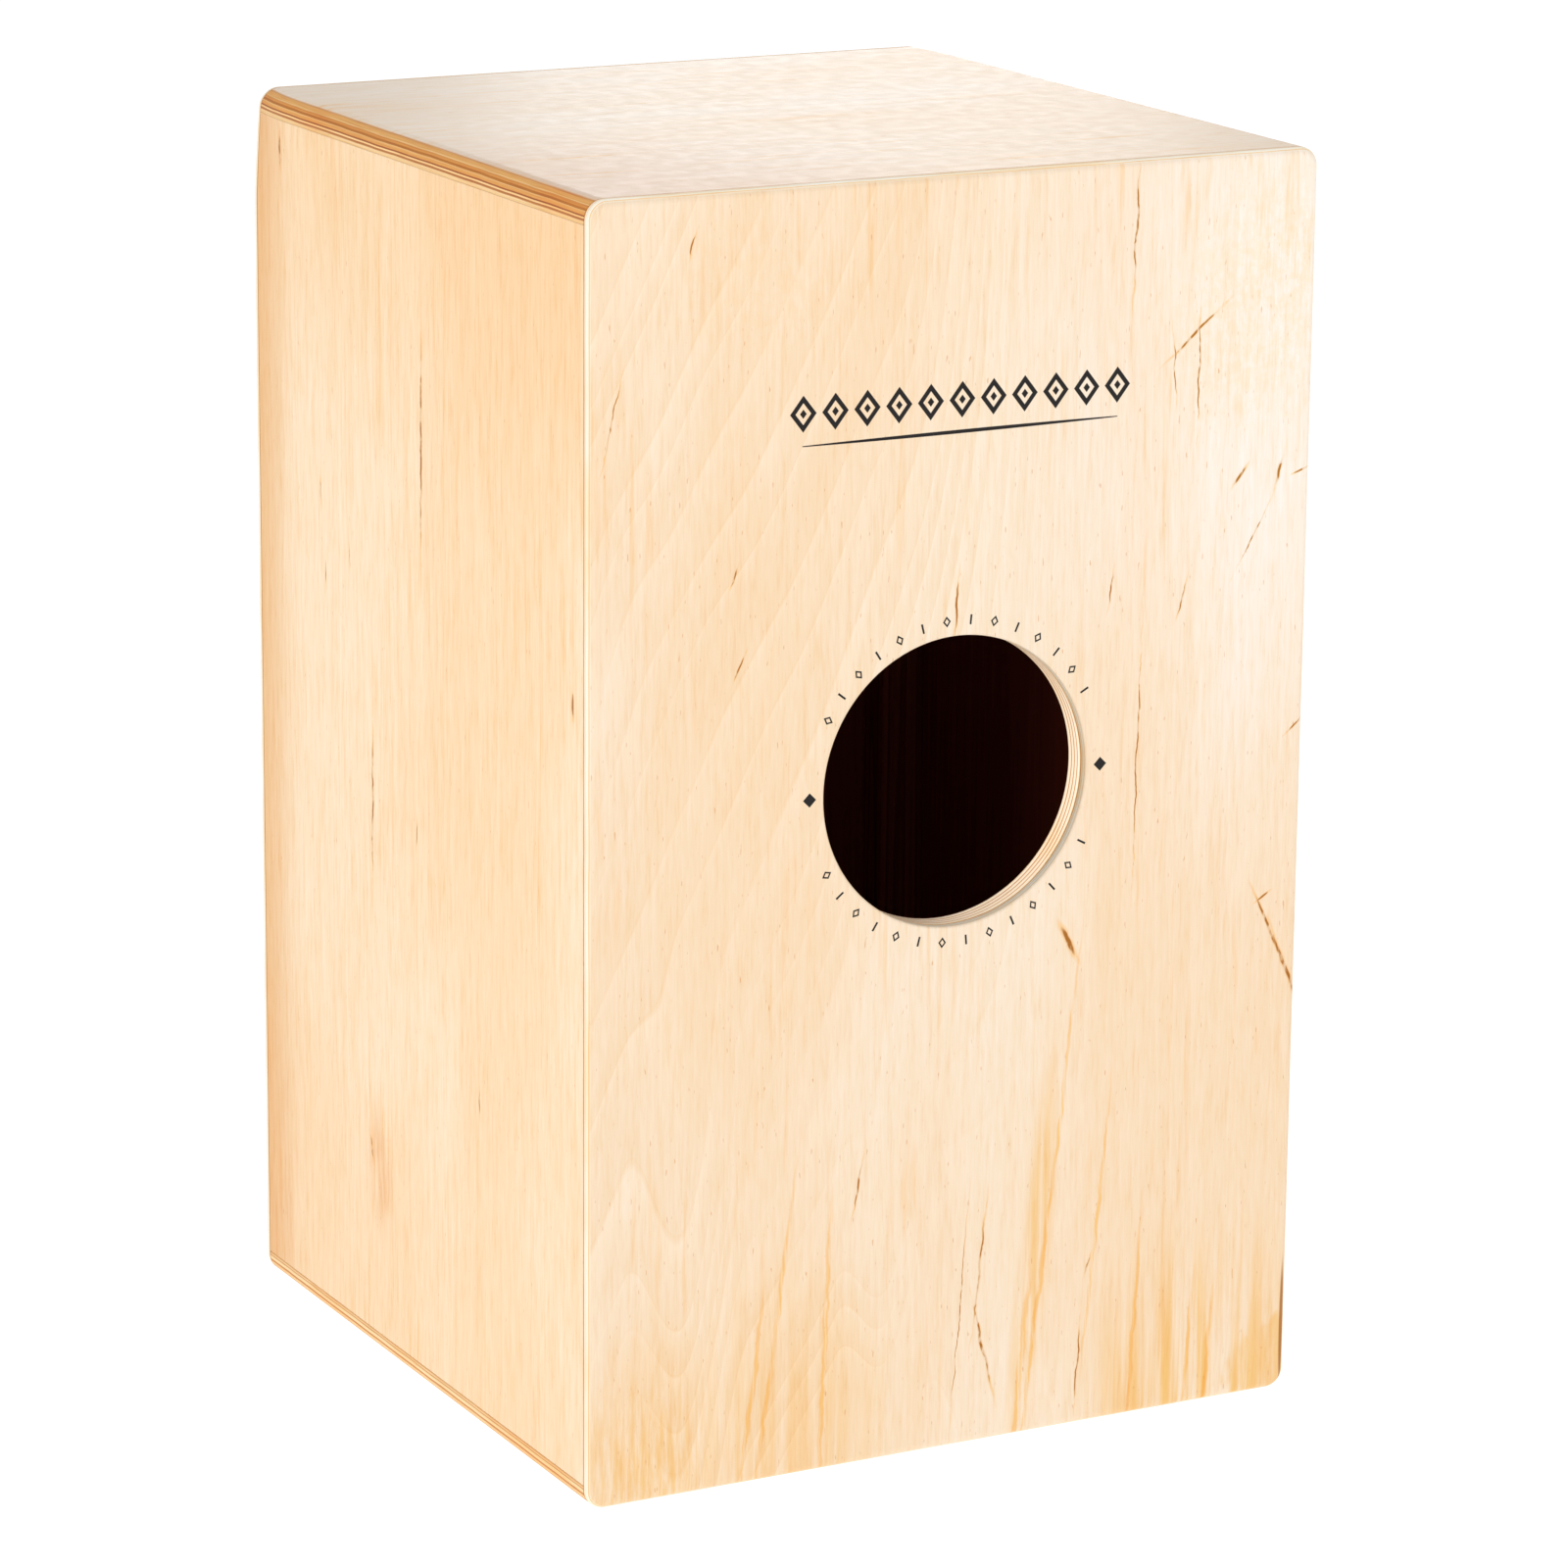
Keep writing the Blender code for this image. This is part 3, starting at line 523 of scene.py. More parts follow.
class Graph:
    """A material's node tree. Each method adds a node and returns its output."""

    def __init__(self, name):
        self.material = bpy.data.materials.new(name)
        self.material.use_nodes = True
        self.tree = self.material.node_tree
        self.shader = self.tree.nodes["Principled BSDF"]
        self.place = self.add("ShaderNodeTexCoord").outputs["Object"]
        split = self.add("ShaderNodeSeparateXYZ")
        self.feed(split.inputs[0], self.place)
        self.x, self.y, self.z = split.outputs[:3]

    def add(self, kind):
        return self.tree.nodes.new(kind)

    def feed(self, socket, value):
        if isinstance(value, bpy.types.NodeSocket):
            self.tree.links.new(value, socket)
        else:
            socket.default_value = value

    def math(self, operation, *values):
        node = self.add("ShaderNodeMath")
        node.operation = operation
        for socket, value in zip(node.inputs, values):
            self.feed(socket, value)
        return node.outputs[0]

    def plus(self, a, b):
        return self.math("ADD", a, b)

    def minus(self, a, b):
        return self.math("SUBTRACT", a, b)

    def times(self, a, b):
        return self.math("MULTIPLY", a, b)

    def absolute(self, a):
        return self.math("ABSOLUTE", a)

    def larger(self, a, b):
        return self.math("MAXIMUM", a, b)

    def vector(self, x, y, z=0.0):
        node = self.add("ShaderNodeCombineXYZ")
        for socket, value in zip(node.inputs, (x, y, z)):
            self.feed(socket, value)
        return node.outputs[0]

    def stretched(self, vector, scale, shift=0.0):
        """A vector scaled each way, and moved to its own place in the noise."""
        node = self.add("ShaderNodeVectorMath")
        node.operation = "MULTIPLY_ADD"
        self.feed(node.inputs[0], vector)
        node.inputs[1].default_value = scale
        node.inputs[2].default_value = (shift, shift * 1.37, shift * 0.71)
        return node.outputs[0]

    def noise(self, vector, scale, shift=0.0, detail=2.0, roughness=0.5):
        """Noise whose scale says how many features there are in a metre, each way."""
        node = self.add("ShaderNodeTexNoise")
        self.feed(node.inputs["Vector"], self.stretched(vector, scale, shift))
        node.inputs["Scale"].default_value = 1.0
        node.inputs["Detail"].default_value = detail
        node.inputs["Roughness"].default_value = roughness
        return node.outputs[0]

    def span(self, value, low, high, start=0.0, end=1.0, smooth=True):
        """Goes from start to end as the value goes from low to high, and stays there beyond them."""
        node = self.add("ShaderNodeMapRange")
        node.interpolation_type = "SMOOTHSTEP" if smooth else "LINEAR"
        for socket, number in zip(node.inputs, (value, low, high, start, end)):
            self.feed(socket, number)
        return node.outputs[0]

    def ramp(self, value, stops):
        """A colour ramp from (place, colour) pairs."""
        node = self.add("ShaderNodeValToRGB")
        self.feed(node.inputs[0], value)
        elements = node.color_ramp.elements
        while len(elements) < len(stops):
            elements.new(0.5)
        for element, (place, colour) in zip(elements, stops):
            element.position = place
            element.color = colour
        return node.outputs[0]

    def mix(self, share, a, b, blend="MIX"):
        """Blends b into a. A share over 1 goes past b."""
        node = self.add("ShaderNodeMix")
        node.data_type = "RGBA"
        node.blend_type = blend
        node.clamp_factor = False
        self.feed(node.inputs[0], share)
        self.feed(node.inputs[6], a)
        self.feed(node.inputs[7], b)
        return node.outputs[2]

    def ellipse(self, vector, x, y, wide, tall, lean=0.0):
        """Distance from a point, 1 on an ellipse of that half width and half height, leaning in degrees."""
        node = self.add("ShaderNodeMapping")
        node.vector_type = "TEXTURE"
        self.feed(node.inputs["Vector"], vector)
        node.inputs["Location"].default_value = (x, y, 0)
        node.inputs["Rotation"].default_value = (0, 0, math.radians(lean))
        node.inputs["Scale"].default_value = (wide, tall, 1)
        length = self.add("ShaderNodeVectorMath")
        length.operation = "LENGTH"
        self.feed(length.inputs[0], node.outputs[0])
        return length.outputs["Value"]

    def patch(self, vector, place, outer, inner, amount=1.0):
        """How much an oval patch covers, from nothing at outer to the amount at inner, in its radii."""
        return self.span(self.ellipse(vector, *place), outer, inner, 0.0, amount)

    def stain(self, colour, share, tint):
        return self.mix(share, colour, tint, "MULTIPLY")

    def bump(self, height, distance):
        """Gives the surface this relief, in metres from the lowest to the highest."""
        node = self.add("ShaderNodeBump")
        node.inputs["Distance"].default_value = distance
        self.feed(node.inputs["Height"], height)
        self.feed(self.shader.inputs["Normal"], node.outputs[0])

    def finish(self, colour, roughness, **constants):
        """Feeds the shader, and returns the material. Constants are socket names in lower case."""
        self.feed(self.shader.inputs["Base Color"], colour)
        self.feed(self.shader.inputs["Roughness"], roughness)
        for name, value in constants.items():
            self.shader.inputs[name.replace("_", " ").title().replace("Ior", "IOR")].default_value = value
        return self.material


# -------- birch --------

# Tints that several faces share
GUM_BROWN = srgb(164, 98, 6)
AMBER = srgb(240, 192, 84)
WARM_STAIN = srgb(252, 222, 170)

# The printed decoration: a circle of marks round the hole, and a row of lozenges over a rule
PRINT_RADIUS = 0.0610
PRINT_MARKS = 38
ROW_RISE, ROW_STEP, ROW_HALF = 0.143, 0.0130, 0.0715
RULE_DROP, RULE_HALF, RULE_THICK = 0.0118, 0.0655, 0.00070


def growth_rings(g, across, along, seed, spacing, lean, wander, arches):
    """Where a point lies between two growth rings of a rotary-cut veneer, from 0 to 1. The rings run up
    the grain, lean and wander. An arch (across, top, half width, rings) pushes some of them up."""
    height = g.minus(along, BODY_MIDDLE)
    field = g.times(g.minus(across, g.times(lean, height)), 1 / spacing)
    for place, top, half, rings in arches:
        near = g.span(g.absolute(g.minus(across, place)), half, 0.0, 0.0, rings)
        field = g.minus(field, g.times(near, g.span(along, top + 0.03, top - 0.06)))
    swell = g.noise(g.vector(across, along), (9.0, 3.5, 1.0), seed, detail=2.0, roughness=0.4)
    field = g.plus(field, g.times(swell, wander))
    uneven = g.noise(g.vector(field, 0.0), (0.75, 1.0, 1.0), seed + 4.0, detail=1.0)
    return g.math("FRACT", g.minus(g.times(uneven, 3.0), field))


def veneer(
    g, across, along, seed, light, spacing, lean=0.0, wander=2.5, arches=(), ring=0.6, streak=0.6, fibre=1.0
):
    """A clear-lacquered birch face: slow changes of tone, growth rings, long streaks, fibres and fine
    pores. Returns its colour and its relief."""
    face = g.vector(across, along)
    cloud = g.noise(face, (10.0, 3.0, 1.0), seed + 9.0, detail=2.0)
    colour = g.stain(light, g.span(cloud, 0.38, 0.64, 0.0, 0.30), WARM_STAIN)
    phase = growth_rings(g, across, along, seed, spacing, lean, wander, arches)
    bands = g.ramp(
        phase,
        [
            (0.00, (0.985, 0.955, 0.905, 1)),
            (0.40, (0.990, 0.970, 0.935, 1)),
            (0.75, (1.000, 1.000, 0.990, 1)),
            (0.92, (1.018, 1.028, 1.040, 1)),
            (0.955, (0.995, 0.965, 0.915, 1)),
            (1.00, (0.978, 0.910, 0.805, 1)),
        ],
    )
    shown = g.span(g.noise(face, (15.0, 6.0, 1.0), seed + 2.0), 0.36, 0.62, 0.25, 1.0)
    colour = g.stain(colour, g.times(shown, ring), bands)
    drawn = g.noise(face, (250.0, 11.0, 1.0), seed + 11.0, detail=4.0, roughness=0.65)
    grouped = g.span(g.noise(face, (16.0, 5.0, 1.0), seed + 12.0), 0.36, 0.62, 0.15, 1.0)
    drawn = g.times(g.span(drawn, 0.54, 0.72, 0.0, streak), grouped)
    colour = g.stain(colour, drawn, srgb(253, 222, 166))
    strands = g.noise(face, (560.0, 36.0, 1.0), seed + 5.0, detail=3.0, roughness=0.65)
    threads = g.noise(face, (1500.0, 110.0, 1.0), seed + 7.0, detail=2.0)
    fibres = g.plus(g.times(strands, 0.62), g.times(threads, 0.38))
    tones = g.ramp(
        g.span(fibres, 0.34, 0.66, smooth=False),
        [
            (0.00, (0.955, 0.870, 0.730, 1)),
            (0.40, (0.987, 0.963, 0.920, 1)),
            (0.70, (1, 1, 1, 1)),
            (1.00, (1.015, 1.035, 1.07, 1)),
        ],
    )
    colour = g.stain(colour, fibre, tones)
    pores = g.noise(face, (1300.0, 230.0, 1.0), seed + 3.0, detail=1.0)
    dark = g.span(pores, 0.72, 0.80, 0.0, 0.6)
    colour = g.stain(colour, dark, srgb(226, 170, 104))
    relief = g.minus(g.times(fibres, 0.6), g.times(dark, 0.8))
    return colour, relief


def marked(g, colour, across, along, marks, seed, tint=GUM_BROWN, share=1.0, grit=(420.0, 160.0, 1.0)):
    """Adds gum streaks to a face. Each mark is across, along, half length, lean and half width, in metres
    on the face and degrees. Grit is how many breaks a streak has in a metre, each way. Returns the colour,
    and where the streaks are."""
    face = g.vector(across, along)
    bend = g.times(g.minus(g.noise(face, (60.0, 90.0, 1.0), seed, detail=3.0), 0.5), 0.0030)
    face = g.vector(g.plus(across, bend), along)
    nearest = None
    for x, z, half, lean, wide in marks:
        reach = g.ellipse(face, x, z, wide, half, lean)
        nearest = reach if nearest is None else g.math("MINIMUM", nearest, reach)
    broken = g.span(g.noise(face, grit, seed + 1.0, detail=2.0), 0.38, 0.54, 0.25, 1.0)
    core = g.times(g.span(nearest, 1.35, 0.75), broken)
    halo = g.times(g.span(nearest, 2.4, 1.1, 0.0, 0.6), broken)
    colour = g.stain(colour, halo, srgb(254, 212, 122))
    return g.mix(g.times(core, share), colour, tint), core


def plies(g, depth, thick, layers, seed):
    """The cut edge of plywood by depth from its face. Layers are (depth in millimetres, colour)."""
    fine = g.noise(g.place, (45.0, 45.0, 45.0), seed, detail=2.0)
    wavy = g.plus(depth, g.times(g.minus(fine, 0.5), 0.0005))
    colour = g.ramp(g.math("DIVIDE", wavy, thick), [(mm / 1000 / thick, c) for mm, c in layers])
    drawn = g.vector(g.times(g.x, 50), g.times(g.y, 50), g.times(depth, 5600))
    lines = g.noise(drawn, (1.0, 1.0, 1.0), seed + 3, detail=3.0)
    tones = g.ramp(
        g.span(lines, 0.32, 0.68, smooth=False),
        [(0.0, (0.86, 0.68, 0.40, 1)), (0.45, (1, 1, 1, 1)), (1.0, (1.08, 1.11, 1.16, 1))],
    )
    patches = g.noise(g.place, (22.0, 22.0, 22.0), seed + 6, detail=2.0)
    colour = g.stain(colour, 0.9, tones)
    return g.stain(colour, g.span(patches, 0.42, 0.66, 0.0, 0.4), srgb(255, 220, 150))


# Plies from the outer face inwards: each colour's place is its depth in millimetres
CORE_LAYERS = [
    (0.45, srgb(246, 200, 140)),
    (0.75, srgb(212, 136, 54)),
    (1.00, srgb(236, 172, 90)),
    (1.95, srgb(240, 180, 100)),
    (2.15, srgb(250, 212, 146)),
    (2.45, srgb(222, 142, 54)),
    (3.10, srgb(232, 158, 70)),
    (3.35, srgb(192, 114, 18)),
    (3.95, srgb(196, 120, 24)),
    (4.15, srgb(246, 200, 134)),
    (4.45, srgb(238, 172, 90)),
    (5.35, srgb(234, 164, 78)),
    (5.60, srgb(170, 84, 0)),
    (6.00, srgb(164, 78, 0)),
    (6.15, srgb(255, 214, 146)),
    (6.60, srgb(252, 208, 140)),
    (6.80, srgb(180, 100, 14)),
    (7.45, srgb(188, 118, 36)),
    (7.70, srgb(246, 208, 150)),
    (8.75, srgb(240, 196, 132)),
]

BASE_LAYERS = [
    (0.55, srgb(248, 208, 150)),
    (0.85, srgb(208, 136, 64)),
    (1.20, srgb(244, 192, 124)),
    (2.50, srgb(246, 200, 134)),
    (2.75, srgb(196, 116, 40)),
    (3.30, srgb(214, 140, 60)),
    (3.60, srgb(250, 212, 150)),
    (5.00, srgb(244, 198, 132)),
    (5.30, srgb(200, 120, 44)),
    (5.90, srgb(216, 142, 64)),
    (6.20, srgb(254, 228, 178)),
    (7.40, srgb(250, 212, 154)),
    (7.65, srgb(192, 112, 38)),
    (8.05, srgb(252, 216, 160)),
    (8.75, srgb(226, 166, 96)),
]

PANEL_LAYERS = [
    (0.80, srgb(255, 248, 232)),
    (1.10, srgb(244, 196, 124)),
    (1.35, srgb(255, 250, 236)),
    (2.40, srgb(255, 249, 234)),
    (2.65, srgb(242, 190, 116)),
    (2.90, srgb(255, 250, 236)),
    (3.40, srgb(255, 248, 232)),
    (3.60, srgb(222, 150, 70)),
]

# The ring's plies: partly its own pale birch, partly painted light, as the layers are lifted close to white
# so that the shaded wall of the sound hole looks lit.
RING_LAYERS = [
    (0.10, srgb(250, 218, 170)),
    (0.40, srgb(255, 242, 222)),
    (1.60, srgb(255, 238, 214)),
    (1.75, srgb(214, 146, 72)),
    (2.15, srgb(214, 146, 72)),
    (2.30, srgb(255, 242, 222)),
    (3.70, srgb(255, 235, 208)),
    (3.85, srgb(208, 138, 64)),
    (4.25, srgb(208, 138, 64)),
    (4.40, srgb(255, 242, 222)),
    (5.80, srgb(255, 235, 208)),
    (5.95, srgb(206, 136, 62)),
    (6.40, srgb(206, 136, 62)),
    (6.55, srgb(255, 238, 214)),
    (8.20, srgb(255, 233, 204)),
    (8.60, srgb(224, 168, 104)),
]


def plywood(g, depth, thick, layers, face_colour, relief, seed, face_thick=0.0007, gum=0.0, gloss=0.3):
    """A plywood material: the face where the depth is small, and the plies below it. Gum is how much dark
    gum covers a spot, on the face and over the edge alike."""
    edge = plies(g, depth, thick, layers, seed)
    below = g.span(depth, face_thick * 0.45, face_thick * 1.25)
    colour = g.mix(gum, g.mix(below, face_colour, edge), GUM_BROWN)
    on_face = g.times(relief, g.minus(1.0, below))
    g.bump(g.plus(on_face, g.times(below, g.noise(g.place, (300, 300, 2600), seed))), 0.00002)
    scuff = g.noise(g.place, (140.0, 140.0, 140.0), seed + 2, detail=4.0)
    roughness = g.plus(g.span(scuff, 0.3, 0.7, 0.40, 0.47), g.times(below, 0.14))
    return g.finish(colour, roughness, specular_ior_level=gloss, coat_weight=gloss * 0.2, coat_roughness=0.3)


def back_panel_birch():
    g = Graph("birch_back_panel")
    right = g.times(g.x, -1.0)
    lean = g.span(right, -0.030, 0.050, 0.46, -0.03)
    arches = [(-0.110, 0.200, 0.026, 2.2), (-0.026, 0.160, 0.022, 1.6)]
    light = srgb(240, 222, 200)
    ring = g.span(right, -0.010, 0.060, 1.0, 0.45)
    colour, relief = veneer(
        g, right, g.z, 3.0, light, 0.0150, lean, 3.0, arches, ring, streak=0.45, fibre=0.85
    )
    marks = [
        (0.072, 0.471, 0.019, -2, 0.00032),
        (0.0985, 0.4295, 0.0100, -51, 0.00040),
        (0.100, 0.415, 0.016, 0, 0.00028),
        (0.0895, 0.417, 0.009, 4, 0.00020),
        (0.119, 0.3735, 0.0035, -40, 0.00050),
        (0.136, 0.374, 0.0045, -14, 0.00045),
        (0.1455, 0.3735, 0.0028, -70, 0.00030),
        (0.125, 0.350, 0.010, -30, 0.00022),
        (0.064, 0.336, 0.005, -8, 0.00028),
        (0.095, 0.329, 0.005, -14, 0.00028),
        (-0.001, 0.336, 0.008, -4, 0.00035),
        (-0.092, 0.3555, 0.003, -22, 0.00030),
        (-0.090, 0.322, 0.004, -22, 0.00028),
        (-0.1095, 0.4765, 0.003, -14, 0.00026),
        (-0.141, 0.416, 0.011, -14, 0.00020),
        (0.077, 0.271, 0.031, -1, 0.00025),
        (0.1465, 0.276, 0.004, -48, 0.00035),
        (0.049, 0.2025, 0.0055, 30, 0.00090),
        (0.136, 0.199, 0.010, 26, 0.00045),
        (0.1445, 0.181, 0.012, 22, 0.00060),
        (0.1338, 0.2093, 0.0026, -60, 0.00035),
        (-0.039, 0.120, 0.008, -10, 0.00030),
        (0.060, 0.073, 0.003, -20, 0.00030),
        (0.013, 0.078, 0.017, -6, 0.00034),
        (0.015, 0.048, 0.014, 14, 0.00045),
        (0.0045, 0.060, 0.030, -4, 0.00016),
        (0.0565, 0.034, 0.013, -2, 0.00026),
    ]
    amber = [
        (0.0445, 0.112, 0.050, -6.5, 0.00045),
        (0.0360, 0.040, 0.028, -6.0, 0.00050),
        (0.0315, 0.035, 0.024, -5.0, 0.00080),
        (-0.0745, 0.058, 0.040, -7.5, 0.00055),
        (-0.0525, 0.054, 0.036, -2.0, 0.00060),
        (-0.0840, 0.036, 0.026, -7.0, 0.00060),
        (0.0635, 0.088, 0.030, -5.5, 0.00045),
        (0.0810, 0.044, 0.026, -3.0, 0.00045),
        (0.1145, 0.028, 0.016, -4.0, 0.00060),
        (0.1050, 0.030, 0.018, -4.0, 0.00045),
    ]
    colour, _ = marked(g, colour, right, g.z, amber, 15.0, AMBER, 0.32, (1100.0, 30.0, 1.0))
    colour, cracks = marked(g, colour, right, g.z, marks, 21.0)
    face = g.vector(right, g.z)
    # Painted light: an upper patch of the back panel, towards its right as seen from behind, is made paler
    # and whiter, as if more light fell there.
    painted_light = g.patch(face, (0.140, 0.430, 0.105, 0.250), 1.1, 0.1)
    colour = g.stain(colour, painted_light, (1.04, 1.21, 1.52, 1.0))
    sandy = g.span(g.noise(face, (420.0, 34.0, 1.0), 31.0, detail=5.0, roughness=0.7), 0.30, 0.66)
    drawn = g.span(g.noise(face, (260.0, 7.0, 1.0), 33.0, detail=3.0), 0.34, 0.64)
    low_left = g.times(g.patch(face, (-0.126, 0.018, 0.048, 0.062), 1.15, 0.1, 0.85), sandy)
    foot = g.times(g.patch(face, (-0.070, 0.010, 0.065, 0.085), 1.15, 0.2, 0.55), drawn)
    band = g.times(g.patch(face, (0.0365, 0.075, 0.0075, 0.090, -5), 1.25, 0.3, 0.8), drawn)
    low_right = g.times(g.patch(face, (0.110, 0.005, 0.060, 0.085), 1.15, 0.3), drawn)
    ragged = g.plus(g.ellipse(face, 0.146, 0.019, 0.026, 0.021, 25), g.noise(face, (90.0, 60.0, 1.0), 35.0))
    corner = g.times(g.span(ragged, 1.56, 1.30), g.span(sandy, 0.0, 1.0, 0.45, 0.8))
    stain = g.larger(g.larger(low_left, foot), g.larger(low_right, band))
    colour = g.stain(colour, g.larger(stain, corner), srgb(251, 222, 156))
    curl = g.span(g.noise(face, (300.0, 190.0, 1.0), 40.0, detail=4.0, roughness=0.75), 0.40, 0.62)
    flame = g.patch(face, (-0.082, 0.457, 0.046, 0.032, -14), 1.15, 0.3, 0.22)
    curly = g.patch(face, (0.128, 0.440, 0.045, 0.060, -20), 1.2, 0.3, 0.40)
    colour = g.stain(colour, g.times(g.larger(flame, curly), curl), srgb(254, 238, 202))
    colour = g.mix(ornament(g, right), colour, srgb(10, 2, 2))
    gum = g.patch(face, (0.1478, 0.036, 0.0009, 0.024), 1.3, 0.7, 0.9)
    depth = g.minus(BACK, g.y)
    thick = BACK - PANEL_INNER
    return plywood(g, depth, thick, PANEL_LAYERS, colour, g.minus(relief, cracks), 2.0, 0.0010, gum)


def ornament(g, right):
    """A plain printed decoration: small open lozenges and ticks in two arcs round the sound hole, with a
    solid lozenge at each side, and a row of lozenges over a thin rule above it. Returns how much ink."""
    up = g.minus(g.z, HOLE_Z)
    radius = g.math("SQRT", g.plus(g.times(right, right), g.times(up, up)))
    angle = g.math("ARCTAN2", up, right)
    pitch = math.radians(360 / PRINT_MARKS)
    turns = g.plus(g.math("DIVIDE", angle, pitch), 0.5)
    beside = g.times(g.absolute(g.minus(g.math("FRACT", turns), 0.5)), 2 * PRINT_RADIUS * pitch / 2)
    tall = g.absolute(g.minus(radius, PRINT_RADIUS))
    tick = g.times(g.span(beside, 0.00046, 0.00034), g.span(tall, 0.00195, 0.00180))
    around = g.plus(g.times(beside, 1 / 0.0016), g.times(tall, 1 / 0.0021))
    diamond = g.times(g.span(around, 1.06, 0.96), g.span(around, 0.48, 0.58))
    even = g.math("GREATER_THAN", g.math("FRACT", g.times(g.math("FLOOR", turns), 0.5)), 0.25)
    small = g.plus(g.times(tick, even), g.times(diamond, g.minus(1.0, even)))
    small = g.times(small, g.span(g.absolute(g.math("SINE", angle)), 0.36, 0.38))
    sides = g.plus(g.absolute(g.minus(g.absolute(right), PRINT_RADIUS)), g.absolute(up))
    ink = g.larger(small, g.span(sides, 0.0028, 0.0026))
    above = g.minus(up, ROW_RISE)
    reach = g.absolute(right)
    column = g.absolute(g.minus(g.math("FRACT", g.plus(g.math("DIVIDE", right, ROW_STEP), 0.5)), 0.5))
    lozenge = g.plus(g.times(column, ROW_STEP / 0.0054), g.times(g.absolute(above), 1 / 0.0068))
    row = g.times(g.span(lozenge, 1.02, 0.97), g.span(lozenge, 0.56, 0.61))
    row = g.larger(row, g.span(lozenge, 0.28, 0.23))
    row = g.times(row, g.span(reach, ROW_HALF + 0.0002, ROW_HALF))
    taper = g.minus(RULE_THICK, g.times(g.times(reach, reach), 0.12))
    rule = g.span(g.minus(g.absolute(g.plus(above, RULE_DROP)), taper), 0.0001, -0.0001)
    rule = g.times(rule, g.span(reach, RULE_HALF, RULE_HALF - 0.0005))
    return g.larger(ink, g.larger(row, rule))


def front_plate_birch():
    g = Graph("birch_front_plate")
    arches = [(0.050, 0.330, 0.028, 3.5), (-0.070, 0.180, 0.024, 3.0)]
    lean = g.span(g.x, -0.060, 0.070, 0.30, -0.25)
    colour, relief = veneer(g, g.x, g.z, 57.0, srgb(243, 222, 196), 0.012, lean, 3.0, arches, ring=1.0)
    marks = [
        (-0.060, 0.330, 0.012, 6, 0.0003),
        (0.085, 0.140, 0.018, -4, 0.0003),
        (0.030, 0.410, 0.006, 12, 0.0004),
    ]
    colour, cracks = marked(g, colour, g.x, g.z, marks, 61.0)
    thick = PLATE_INNER - FRONT
    layers = PANEL_LAYERS[:5]
    return plywood(g, g.minus(g.y, FRONT), thick, layers, colour, g.minus(relief, cracks), 5.0, 0.0008)


def side_birch(side):
    g = Graph("birch_side_right" if side > 0 else "birch_side_left")
    seed = 11.0 if side > 0 else 83.0
    back = g.times(g.y, float(side))
    light = srgb(255, 230, 197)
    colour, relief = veneer(g, back, g.z, seed, light, 0.016, ring=0.6, streak=0.6, fibre=1.3)
    marks = [
        (0.007, 0.382, 0.032, -1, 0.00062),
        (-0.087, 0.347, 0.003, 0, 0.00065),
        (-0.083, 0.316, 0.004, 0, 0.00030),
        (-0.060, 0.326, 0.003, 0, 0.00030),
        (-0.040, 0.233, 0.023, -1, 0.00056),
        (0.137, 0.312, 0.004, 0, 0.00060),
        (0.057, 0.141, 0.004, 0, 0.00030),
        (0.001, 0.231, 0.004, 0, 0.00025),
        (-0.124, 0.474, 0.005, 2, 0.00070),
        (-0.043, 0.094, 0.004, 14, 0.00050),
    ]
    knot_place = (-0.036, 0.086)
    if side < 0:
        # The photograph never shows the left board: its figure is the right board's, turned about.
        marks = [(-0.7 * x, BODY_BASE + BODY_TOP - z, *shape) for x, z, *shape in marks[1:]]
        knot_place = (0.055, 0.330)
    colour, cracks = marked(g, colour, back, g.z, marks, seed + 20)
    face = g.vector(back, g.z)
    knot = g.patch(face, (*knot_place, 0.015, 0.032, 10), 1.1, 0.1, 0.6)
    knot = g.times(knot, g.span(g.noise(face, (260.0, 30.0, 1.0), seed + 30, detail=3.0), 0.30, 0.60))
    colour = g.stain(colour, knot, srgb(240, 192, 124))
    # Painted shade: the side board is made darker and more yellow over its last 45 mm towards the front.
    front = g.span(g.y, FRONT + 0.045, FRONT, 0.0, 1.0)
    colour = g.stain(colour, front, srgb(241, 215, 178))
    # Painted shade: the side board is made a little darker and more yellow towards its top edge.
    high = g.span(g.z, BODY_TOP - 0.140, BODY_TOP - 0.030)
    colour = g.stain(colour, high, srgb(253, 246, 235))
    depth = g.minus(RIGHT, g.absolute(g.x))
    return plywood(g, depth, BOARD, CORE_LAYERS, colour, g.minus(relief, cracks), seed + 1, 0.0040)


def end_birch(upper):
    g = Graph("birch_top" if upper else "birch_base")
    seed = 29.0 if upper else 71.0
    light = srgb(254, 238, 221) if upper else srgb(252, 236, 212)
    colour, relief = veneer(g, g.y, g.x, seed, light, 0.014, ring=0.8, streak=0.8)
    marks = [
        (0.060, 0.110, 0.016, 0, 0.0006),
        (0.095, 0.120, 0.012, 4, 0.0007),
        (-0.050, 0.030, 0.010, 0, 0.0003),
    ]
    colour, cracks = marked(g, colour, g.y, g.x, marks, seed + 5, AMBER, 0.6)
    if upper:
        # Painted shade: the top is darkened round its corner above the right side and the back panel, where
        # less light is reflected.
        near = g.span(g.ellipse(g.vector(g.x, g.y), RIGHT, BACK, 0.17, 0.17), 1.1, 0.2)
        colour = g.stain(colour, near, srgb(243, 230, 221))
    depth = g.minus(BODY_TOP, g.z) if upper else g.minus(g.z, BODY_BASE)
    layers = CORE_LAYERS if upper else BASE_LAYERS
    gloss = 0.5 if upper else 0.3
    return plywood(g, depth, BOARD, layers, colour, g.minus(relief, cracks), seed + 1, gloss=gloss)


